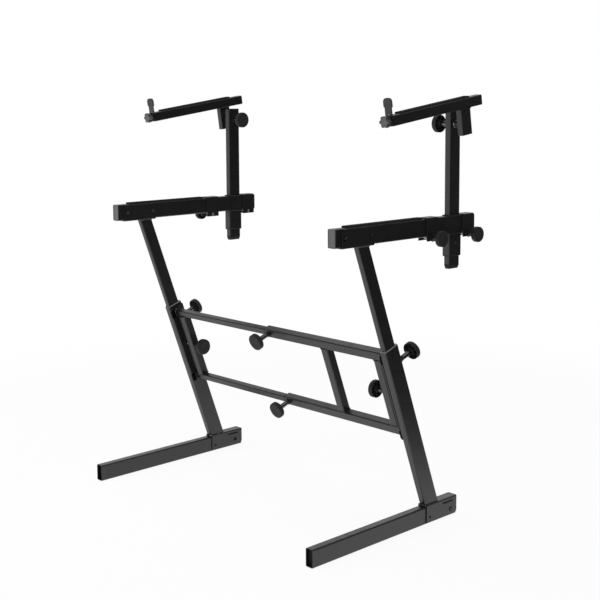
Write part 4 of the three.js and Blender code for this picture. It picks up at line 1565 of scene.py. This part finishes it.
def grooved_pad(width, height, front, rear):
    """Rubber strip with lengthwise grooves on top, its underside at Z = 0."""
    grooves = 5
    margin = 2.0
    mouth = 0.75
    bed = 0.4
    deep = 0.7
    step = (width - 2 * margin) / grooves
    top = height + tubes().play
    half = width / 2
    outline = [(-half, 0.05), (half, 0.05), (half, top - 1.0), (half - 0.3, top - 0.3), (half - 1.0, top)]
    for k in range(grooves):
        x = half - margin - (k + 0.5) * step
        outline += [(x + mouth, top), (x + bed, top - deep), (x - bed, top - deep), (x - mouth, top)]
    outline += [(-half + 1.0, top), (-half + 0.3, top - 0.3), (-half, top - 1.0)]
    return eased(prism(outline, "Y", front, rear), 0.15)


class MakeStraps(bpy.types.Operator):
    """Make the straps round the lower arms, ahead of the sleeve and behind it"""

    bl_idname = "stand.straps"
    bl_label = "Straps"

    length: size("Length", "Along the arm", 45.0)
    drop: size("Drop", "How far its sides reach below the arm", 11.5)

    def execute(self, context):
        t = tubes()
        half = t.wide_height / 2
        stud_z = -half - t.play - knobs().stud
        outside = saddle_face()
        height = t.wide_height + self.drop + t.play
        for side, name in SIDES:
            for label, middle in strap_middles():
                plate = saddle_plate(self.length, height)
                moved(plate, shift(0, middle + self.length / 2, half + t.play, math.pi, "X"))
                hole = stud_hole("X", -outside - 2, outside + 2, middle, stud_z)
                plate = eased(cut(plate, hole), t.rounding)
                boss = boss_with_bead((side * outside, middle, stud_z), (side, 0, 0))
                strap = gather("strap", [plate, *boss])
                label = f"{label}_{name}"
                done(strap, label, arm_place(side), f"upper_{name}", "powder_coat", f"arm_{label}")
        return {"FINISHED"}


class MakePosts(bpy.types.Operator):
    """Make the posts with their caps"""

    bl_idname = "stand.posts"
    bl_label = "Posts"

    foot_height: size("Foot cap", "Height of the lower cap", 12.0)
    foot_straight: size("Straight part", "Of the lower cap, above its taper", 3.0)
    foot_taper: size("Taper", "How far the lower cap draws in", 3.0)
    head_height: size("Head cap", "Height of the upper cap", 2.0)

    def execute(self, context):
        t = tubes()
        section = post_section()
        fit = t.wall + t.play
        for side, name in SIDES:
            body = f"post_body_{name}"
            place = post_place(side)
            post = tube(section, "Z", t.post_bottom, t.post_top, t.wall)
            hole = stud_hole("X", -t.post_width, t.post_width, 0.0, PIVOT_Z)
            post = eased(cut(post, hole), TUBE_EDGE)
            boss = boss_with_bead((-side * t.post_width / 2, 0, PIVOT_Z), (-side, 0, 0))
            post = gather("post", [post, *boss])
            done(post, f"post_tube_{name}", place, body, "powder_coat", f"post_{name}")

            low = t.post_bottom
            tip = low - t.play - self.foot_height
            straight = low - t.play - self.foot_straight
            steps = [
                (fit + 1.6, low + 14.0),
                (fit, low + 14.0),
                (fit, low - 0.05),
                (0.0, low - 0.05),
                (0.0, straight),
                (self.foot_taper - 0.3, tip + 0.9),
                (self.foot_taper + 0.3, tip + 0.2),
                (self.foot_taper + 1.0, tip),
            ]
            foot = stepped(section, "Z", steps)
            done(foot, f"post_foot_{name}", place, body, "cap_plastic", f"post_cap_bottom_{name}")

            top = t.post_top
            crown = top + t.play + self.head_height
            steps = [
                (fit, top - 12.0),
                (fit, top + 0.05),
                (0.0, top + 0.05),
                (0.0, crown - 0.9),
                (0.3, crown - 0.3),
                (1.0, crown),
            ]
            head = stepped(section, "Z", steps)
            done(head, f"post_head_{name}", place, body, "cap_plastic", f"post_cap_top_{name}")
        return {"FINISHED"}


class MakeTiltingArms(bpy.types.Operator):
    """Make the upper tier's tilting arms"""

    bl_idname = "stand.tilting_arms"
    bl_label = "Tilting arms"

    pad_front: size("Pad front", "Behind the arm's front end", 30.0)
    pad_length: size("Pad length", "Along the arm", 270.0)
    pad_width: size("Pad width", "Across the pad", 19.0)
    pad_height: size("Pad height", "Height of the pad", 3.5)

    def execute(self, context):
        t = tubes()
        middle = t.tier_rise + t.tier_height / 2
        section = (t.tier_width, t.tier_height, t.outer_corner)
        stub_section = (t.stub_width, t.stub_depth, t.inner_corner)
        front = -t.tier_ahead
        for side, name in SIDES:
            body = f"tier_{name}"
            place = tier_place(side)
            arm = eased(tube(section, "Y", front, t.tier_behind, t.wall, 0.0, middle), 0.3)
            outline = around(section, -0.8, 0.0, middle)
            lid = prism(outline, "Y", front + 0.1, front + t.tier_end_plate)
            lid = eased(cut(lid, stud_hole("Y", front - 5, front + 9, 0.0, middle)), 0.2)
            stub_x = side * (t.tier_width - t.stub_width) / 2
            stub = tube(stub_section, "Z", -t.stub_drop, t.tier_rise + OVERLAP, t.wall, stub_x, 0.0)
            inner_face = stub_x - side * t.stub_width / 2
            stub = eased(cut(stub, stud_hole("X", inner_face - side, stub_x)), 0.3)
            spacer_end = side * (t.post_width / 2 + t.play - TIER_OUTSET)
            inward = facing((inner_face, 0, 0), (-side, 0, 0))
            spacer = moved(boss_ring(0.0, abs(inner_face - spacer_end)), inward)
            outline = around(stub_section, 0.8, stub_x, 0.0)
            joint = bead(lifted(outline, t.tier_rise - 0.4), BEADS["stub"])
            foot_ring = moved(boss_bead(0.2), inward)
            arm = gather("tier", [arm, lid, stub, spacer, joint, foot_ring])
            done(arm, f"tilting_arm_{name}", place, body, "powder_coat", f"tier_arm_{name}")

            plug = end_plug(section, t.wall)
            moved(plug, shift(0, t.tier_behind, middle, math.pi, "Z"))
            done(plug, f"tilting_arm_plug_{name}", place, body, "cap_plastic", f"tier_cap_rear_{name}")

            start = front + self.pad_front
            pad = grooved_pad(self.pad_width, self.pad_height, start, start + self.pad_length)
            moved(pad, shift(0, 0, t.tier_rise + t.tier_height))
            done(pad, f"upper_pad_{name}", place, body, "pad_rubber", f"tier_pad_{name}")

            washer = turned([(0, 0), (10.2, 0), (10.6, 0.4), (10.6, 1.6), (10.2, 2.0), (0, 2.0)])
            seat = [((spacer_end, 0.0, 0.0), (side, 0, 0))]
            washer = scattered("washer", washer, seat, finished("zinc_plate"))
            done(washer, f"pivot_washer_{name}", place, body)
        return {"FINISHED"}


class MakeStops(bpy.types.Operator):
    """Make the slotted front stops with their rubber sleeves"""

    bl_idname = "stand.stops"
    bl_label = "Front stops"

    width: size("Width", "Across the plate", 22.0)
    height: size("Height", "Of the plate", 68.0)
    corner: size("Corner", "Radius of the plate's corners", 6.0)
    slot_below: size("Slot below", "Slot below the stud", 6.0)
    slot_above: size("Slot above", "Slot above the stud", 12.0)
    sleeve_width: size("Sleeve width", "Across the rubber", 25.5)
    sleeve_wall: size("Sleeve wall", "Of the rubber", 1.6)
    sleeve_height: size("Sleeve height", "Of the rubber", 23.0)
    sleeve_round: size("Sleeve round", "Radius of its upper corners", 9.5)

    def execute(self, context):
        t = tubes()
        rear = -t.tier_ahead - t.play
        front = rear - t.stop_plate
        top = t.tier_rise + self.height
        plate_middle = (t.tier_rise + top) / 2
        stud_height = t.tier_rise + t.tier_height / 2
        low = stud_height - self.slot_below
        high = stud_height + self.slot_above
        half_slot = knobs().stud + CLEARANCE
        for side, name in SIDES:
            body = f"stop_{name}"
            place = tier_place(side)
            outline = rounded(self.width, self.height, self.corner, 0.0, plate_middle)
            plate = prism(outline, "Y", front, rear)
            length = high - low + 2 * half_slot
            slot = rounded(2 * half_slot, length, half_slot - 0.01, 0.0, (low + high) / 2)
            plate = eased(cut(plate, prism(slot, "Y", front - 3, rear + 3)), 0.6)
            done(plate, f"stop_{name}", place, body, "powder_coat", f"stop_plate_{name}")

            grow = t.play + self.sleeve_wall
            sleeve = prism(self.sleeve_outline(top + grow), "Y", front - grow, rear + grow)
            outline = rounded(self.width + 0.4, self.height, self.corner + 0.2, 0.0, plate_middle + 0.2)
            pocket = prism(outline, "Y", front - 0.2, rear + 0.2)
            sleeve = eased(cut(sleeve, pocket), 1.0, segments=3)
            label = f"stop_sleeve_cover_{name}"
            done(sleeve, label, place, body, "stop_rubber", f"stop_sleeve_{name}")
        return {"FINISHED"}

    def sleeve_outline(self, top):
        """The sleeve's outline, straight below and round above."""
        half = self.sleeve_width / 2
        radius = self.sleeve_round
        low = top - self.sleeve_height
        outline = [(-half, low), (half, low)]
        for middle, start in ((half - radius, 0.0), (radius - half, 0.5)):
            for step in range(13):
                turn = math.pi * (start + step / 24)
                outline.append((middle + radius * math.cos(turn), top - radius + radius * math.sin(turn)))
        return outline


# Knobs: their own Z points away from the tube and their zero lies on the boss
def round_disc(radius, back):
    """Hollow-backed disc with a hub, ribs and a crowned front."""
    k = knobs()
    front = back + k.thickness
    crown = 3.2
    wall = 2.8
    hub = 8.0
    rib = 1.6
    web = front - crown
    rim = radius - wall
    profile = [
        (0, back - 2.4),
        (k.stud + 0.4, back - 2.4),
        (k.stud + 0.8, back - 3.0),
        (hub - 0.7, back - 3.0),
        (hub - 0.2, back - 2.7),
        (hub, back - 2.2),
        (hub + 0.2, web - 1.2),
        (hub + 0.5, web - 0.4),
        (hub + 1.3, web),
        (rim - 1.4, web),
        (rim - 0.5, web - 0.35),
        (rim - 0.15, web - 1.2),
        (rim, back + 0.6),
        (rim + 0.25, back + 0.15),
        (rim + 0.8, back),
        (radius - 1.6, back),
        (radius - 0.7, back + 0.3),
        (radius - 0.15, back + 0.9),
        (radius, back + 1.6),
        (radius, front - 1.9),
        (radius - 0.2, front - 1.1),
        (radius - 0.7, front - 0.45),
        (radius - 1.6, front),
        (radius * 0.8, front + 0.28),
        (radius * 0.6, front + 0.5),
        (radius * 0.45, front + 0.62),
        (radius * 0.42, front + 0.25),
        (radius * 0.2, front + 0.35),
        (0, front + 0.35),
    ]
    disc = smooth(turned(profile, 72))
    long = rim - hub + 1.0
    high = web - back + 1.0
    ribs = grown(
        "ribs",
        path_mesh([(0, 0, 0)]),
        known_tree("ribs_round_a_hub", ring_tree),
        count=k.ribs,
        radius=hub - 0.5 + long / 2,
        long=long,
        thick=rib,
        high=high,
        material=finished("knob_plastic"),
    )
    moved(ribs, shift(0, 0, back + 1.0 + high / 2, math.pi / k.ribs, "Z"))
    return gather("disc", [disc, eased(ribs, 0.3)])


def threaded_stud(start, end, smooth_from, shank):
    """Plated stud with a thread up to a smooth shank of its own radius."""
    depth = 0.5
    root = knobs().stud - 0.55
    core = turned(
        [
            (0, start),
            (root - 0.7, start),
            (root, start + 0.7),
            (root, smooth_from),
            (shank - 0.5, smooth_from),
            (shank, smooth_from + 0.5),
            (shank, end),
            (0, end),
        ],
        40,
    )
    core = eased(core, 0.0)
    lead = shift(0, 0, start + 1.2)
    moved(core, lead.inverted())
    thread = grown(
        "thread",
        core.data.copy(),
        known_tree("thread_round_a_core", thread_tree),
        radius=root + 0.12,
        depth=depth,
        pitch=THREAD_PITCH,
        length=smooth_from - start - 2.0,
        material=finished("zinc_plate"),
    )
    bpy.data.objects.remove(core)
    return moved(thread, lead)


def place_round_knob(name, node, radius, reach, tip, place, position, direction):
    """A disc with its stud and its neck; the reach runs from the tube to the disc's middle."""
    k = knobs()
    back = reach - k.boss_length - k.thickness / 2
    seat = facing(position, direction)
    disc = moved(round_disc(radius, back), seat)
    done(disc, name, place, node, "knob_plastic", node)
    stud = moved(threaded_stud(-tip, k.neck_start + 2.0, 0.5, k.stud), seat)
    done(stud, f"{name}_stud", place, node)
    neck = turned(
        [
            (0, k.neck_start),
            (k.neck - 1.2, k.neck_start),
            (k.neck - 0.3, k.neck_start + 0.4),
            (k.neck, k.neck_start + 1.4),
            (k.neck + 0.5, back - 2.5),
            (k.neck + 0.5, back - 1.5),
            (0, back - 1.5),
        ],
        48,
    )
    neck = moved(eased(neck, 0.0), seat)
    done(neck, f"{name}_neck", place, node, "neck_steel")


class MakeRoundKnobs(bpy.types.Operator):
    """Make the clamp knobs with hollow ribbed backs and their plated studs"""

    bl_idname = "stand.round_knobs"
    bl_label = "Clamp knobs"

    leg_reach: size("Leg knob reach", "From the leg's rear to the middle of the disc", 52.0)
    side_reach: size("Side knob reach", "From the upright to the middle of the disc", 33.0)
    bar_reach: size("Crossbar knob reach", "From the crossbar to the middle of the disc", 48.5)
    strap_reach: size("Strap knob reach", "From the strap to the middle of the disc", 30.0)
    tilt_reach: size("Tilt knob reach", "From the post to the middle of the disc", 38.0)

    def execute(self, context):
        t = tubes()
        k = knobs()
        c = crossbars()
        strap_out = saddle_face() + k.boss_length
        strap_tip = 2 * strap_out - k.boss_length + STUD_END
        strap_z = -t.wide_height / 2 - t.play - k.stud
        upright_face = LEG_MIDDLE_X - t.outer_width / 2 - t.play - c.plate - c.upright_gap - c.thick
        upright_boss = upright_face - k.boss_length
        inner_leg_face = LEG_MIDDLE_X - t.inner_width / 2 - t.play
        outer_boss = t.outer_depth + k.boss_length
        tilt_boss = TIER_OUTSET + t.post_width / 2 + k.boss_length
        rows = []
        for side, name in SIDES:
            rows += [
                (
                    f"leg_rear_{name}", k.large, self.leg_reach,
                    outer_boss - t.inner_setback - t.inner_depth - t.play,
                    leg_place(side), (0, outer_boss, k.leg_height), (0, 1, 0),
                ),
                (
                    f"leg_side_{name}", k.large, self.side_reach, inner_leg_face - upright_boss,
                    crossbar_place(),
                    (side * upright_boss, bar_middle(), side_knob_height()), (-side, 0, 0),
                ),
                *(
                    (
                        f"{label}_{name}", k.small, self.strap_reach, strap_tip,
                        arm_place(side), (side * strap_out, middle, strap_z), (side, 0, 0),
                    )
                    for label, middle in strap_middles()
                ),
                (
                    f"tilt_{name}", k.large, self.tilt_reach, TILT_STUD_TIP,
                    tier_place(side), (-side * tilt_boss, 0, 0), (-side, 0, 0),
                ),
            ]
        seat = c.setback - k.boss_length
        for label, level in (("lower", c.lower), ("upper", c.upper)):
            tip = bar_middle() - c.thin / 2 - seat - t.play
            rows.append(
                (
                    f"crossbar_{label}", k.large, self.bar_reach, tip,
                    crossbar_place(), (BAR_KNOB_X, seat, level), (0, -1, 0),
                )
            )
        for label, radius, reach, tip, place, position, direction in rows:
            place_round_knob(
                f"disc_{label}", f"knob_{label}", radius, reach, tip, place, position, direction
            )
        return {"FINISHED"}


class MakeLobedKnobs(bpy.types.Operator):
    """Make the lobed knobs that hold the front stops"""

    bl_idname = "stand.lobed_knobs"
    bl_label = "Lobed knobs"

    lobe: size("Lobe", "How far the lobes stand out from the mean radius", 1.9)
    thickness: size("Thickness", "Of the head", 11.0)
    neck: size("Neck", "Radius of the round neck", 8.0)
    neck_length: size("Neck length", "From the plate to the head", 9.0)
    lobes: bpy.props.IntProperty(name="Lobes", description="Lobes round the head", default=6, min=3)

    def execute(self, context):
        t = tubes()
        k = knobs()
        steps = 96

        def ring(inset, z):
            points = []
            for step in range(steps):
                turn = 2 * math.pi * step / steps
                wave = math.cos(self.lobes * turn)
                radius = k.lobed + self.lobe * (wave - 0.18 * wave * wave) - inset
                points.append((radius * math.cos(turn), radius * math.sin(turn), z))
            return points

        low = self.neck_length
        top = low + self.thickness
        neck = [(self.neck - 0.5, 0.0), (self.neck, 0.5), (self.neck, low - 0.4)]
        steps_up = [
            (4.2, low),
            (1.1, low),
            (0.3, low + 0.35),
            (0.0, low + 1.1),
            (0.0, top - 1.7),
            (0.35, top - 0.75),
            (1.1, top - 0.25),
            (2.2, top),
            (5.2, top),
            (5.8, top - 0.5),
        ]
        rear = -t.tier_ahead - t.play
        seat = rear - t.stop_plate - t.play
        tip = abs(seat + t.tier_ahead - t.tier_end_plate) + STUD_END
        turn = facing((0, seat, t.tier_rise + t.tier_height / 2), (0, -1, 0))
        for side, name in SIDES:
            place = tier_place(side)
            node = f"knob_stop_{name}"
            rings = round_rings(neck, steps) + [ring(inset, z) for inset, z in steps_up]
            head = moved(eased(loft(rings), 0.0), turn)
            done(head, f"lobed_head_{name}", place, node, "lobed_plastic", node)
            stud = moved(threaded_stud(-tip, 6.0, 0.4, k.stud), turn)
            done(stud, f"lobed_head_{name}_stud", place, node)
        return {"FINISHED"}


class MakeStage(bpy.types.Operator):
    """Make the camera, the lamps and the pale floor"""

    bl_idname = "stand.stage"
    bl_label = "Studio"

    def execute(self, context):
        context.scene.view_settings.view_transform = "Standard"
        self.camera(context.scene)
        self.lamps(context.scene)
        self.surroundings(context.scene)
        self.floor()
        return {"FINISHED"}

    def camera(self, scene):
        studio = scene.stand_stage
        yaw, pitch, roll = studio.yaw, studio.pitch, studio.roll
        place = Vector(studio.camera_place) + Vector((0, ROW_SHIFT_Y, 0))
        flat = math.cos(pitch)
        ahead = Vector((-math.sin(yaw) * flat, math.cos(yaw) * flat, -math.sin(pitch)))
        right = Vector((math.cos(yaw), math.sin(yaw), 0))
        up = right.cross(ahead)
        turn = Matrix((right, up, -ahead)).transposed() @ Matrix.Rotation(roll, 3, "Z")
        data = bpy.data.cameras.new("camera")
        data.lens = studio.lens
        data.shift_x = studio.shift_x
        data.shift_y = studio.shift_y
        data.clip_end = 100.0
        camera = bpy.data.objects.new("camera", data)
        camera.matrix_world = Matrix.Translation(place * MM) @ turn.to_4x4()
        scene.collection.objects.link(camera)
        scene.camera = camera

    def lamps(self, scene):
        studio = scene.stand_stage
        # Each row: name, place, what it looks at, width, height and power
        rows = (
            ("key", (-2.6, -2.6, 1.9), (0.1, -0.1, 0.6), 2.4, 2.4, studio.key),
            ("top", (0.0, -0.3, 3.4), (0.0, 0.0, 0.4), 3.0, 2.6, studio.top),
            ("fill", (2.8, -2.0, 1.4), (0.0, 0.0, 0.5), 1.6, 1.6, studio.fill),
        )
        for name, spot, aim, width, height, power in rows:
            light = bpy.data.lights.new(name, "AREA")
            light.shape = "RECTANGLE"
            light.size = width
            light.size_y = height
            light.energy = power
            holder = bpy.data.objects.new(name, light)
            way = (Vector(aim) - Vector(spot)).normalized()
            turn = way.to_track_quat("-Z", "Y").to_matrix().to_4x4()
            holder.matrix_world = Matrix.Translation(spot) @ turn
            holder.visible_camera = False
            holder.visible_glossy = name == "fill"
            scene.collection.objects.link(holder)

    def surroundings(self, scene):
        """White behind the stand, plain light from all round, and dark sides in reflections."""
        studio = scene.stand_stage
        world = bpy.data.worlds.new("studio")
        scene.world = world
        world.use_nodes = True
        world.node_tree.nodes.clear()
        nodes = Nodes(world.node_tree)
        path = nodes.add("ShaderNodeLightPath").outputs
        camera = Amount(nodes, path["Is Camera Ray"])
        mirrored = Amount(nodes, path["Is Glossy Ray"]) + Amount(nodes, path["Is Transmission Ray"])
        way = nodes.add("ShaderNodeTexCoord").outputs["Generated"]
        split = nodes.add("ShaderNodeSeparateXYZ", None, {0: way}).outputs
        x, y, z = (Amount(nodes, split[axis]) for axis in "XYZ")
        # Bright are the wall behind the stand, a low band at its left front and a lamp above it
        wall = (x * -0.69 + y * 0.72).band(0.35, 0.65)
        ground = (1 - z.band(0.04, 0.24)) * (1 - (x * 0.72 + y * 0.69).band(0.0, 0.5))
        above = (x * 0.4 + y * 0.3 + z * 0.866).band(0.93, 0.97)
        bright = wall.math("MAXIMUM", wall, ground)
        bright = bright.math("MAXIMUM", bright, above)
        plain = (1 - camera - mirrored) * studio.ambient
        strength = camera + mirrored * (bright * studio.dark_side + (1 - studio.dark_side)) + plain
        back = nodes.add(
            "ShaderNodeBackground", None, {"Color": (1.0, 1.0, 1.0, 1.0), "Strength": strength}
        )
        nodes.add("ShaderNodeOutputWorld", None, {"Surface": back.outputs[0]})

    def floor(self):
        """A pale disc that shows white and keeps the stand's shadow."""
        studio = bpy.context.scene.stand_stage
        floor = prism(circle(studio.floor_radius, steps=96), "Z", -0.02, 0.0)
        floor.name = "floor"
        look = Surface("floor")
        speck = look.noise(30.0, 3.0, 0.6)
        look.set(
            Base_Color=look.mixed(speck, tuple(studio.floor), lighter(studio.floor, 0.985)),
            Roughness=speck * 0.1 + 0.85,
            Specular_IOR_Level=0.1,
        )
        path = look.add("ShaderNodeLightPath").outputs
        split = look.add("ShaderNodeSeparateXYZ", None, {0: look.place}).outputs
        toward = Amount(look, split["X"]) * 0.69 + Amount(look, split["Y"]) * 0.72
        lit = 1 - toward.band(600.0, 1400.0) * studio.dark_side
        mirrored = Amount(look, path["Is Glossy Ray"]) + Amount(look, path["Is Transmission Ray"])
        length = look.add("ShaderNodeVectorMath", {"operation": "LENGTH"}, {0: look.place})
        rim = Amount(look, length.outputs["Value"]).band(
            studio.floor_radius / MM * 0.5, studio.floor_radius / MM * 0.97
        )
        seen = Amount(look, path["Is Camera Ray"]) + mirrored
        white = seen * (rim * (1 - studio.floor_glow) + studio.floor_glow)
        shine = 1 - mirrored * (1 - lit)
        glow = look.add(
            "ShaderNodeEmission", None, {"Color": (1.0, 1.0, 1.0, 1.0), "Strength": shine}
        )
        both = look.add(
            "ShaderNodeMixShader", None, {0: white, 1: look.shader.outputs[0], 2: glow.outputs[0]}
        )
        output = look.tree.nodes["Material Output"]
        look.tree.links.new(both.outputs[0], output.inputs["Surface"])
        floor.data.materials.append(look.material)


GROUPS = {
    "stand_tubes": StandTubes,
    "stand_crossbars": StandCrossbars,
    "stand_knobs": StandKnobs,
    "stand_finish": StandFinish,
    "stand_stage": StandStage,
}
MAKERS = (
    MakeFeet,
    MakeLowerLegs,
    MakeGuides,
    MakeCrossbars,
    MakeUpperLegs,
    MakeArms,
    MakeStraps,
    MakePosts,
    MakeTiltingArms,
    MakeStops,
    MakeRoundKnobs,
    MakeLobedKnobs,
    MakeStage,
)


class StandPanel(bpy.types.Panel):
    """Lists the stand's makers"""

    bl_idname = "VIEW3D_PT_stand"
    bl_label = "Keyboard stand"
    bl_space_type = "VIEW_3D"
    bl_region_type = "UI"
    bl_category = "Stand"

    def draw(self, context):
        for maker in MAKERS:
            self.layout.operator(maker.bl_idname)


def register():
    for kind in (*GROUPS.values(), *MAKERS, StandPanel):
        bpy.utils.register_class(kind)
    for name, kind in GROUPS.items():
        setattr(bpy.types.Scene, name, bpy.props.PointerProperty(type=kind))


def unregister():
    for name in GROUPS:
        delattr(bpy.types.Scene, name)
    for kind in reversed((*GROUPS.values(), *MAKERS, StandPanel)):
        bpy.utils.unregister_class(kind)


def main():
    register()
    for maker in MAKERS:
        group, action = maker.bl_idname.split(".")
        getattr(getattr(bpy.ops, group), action)()


if __name__ == "__main__":
    main()
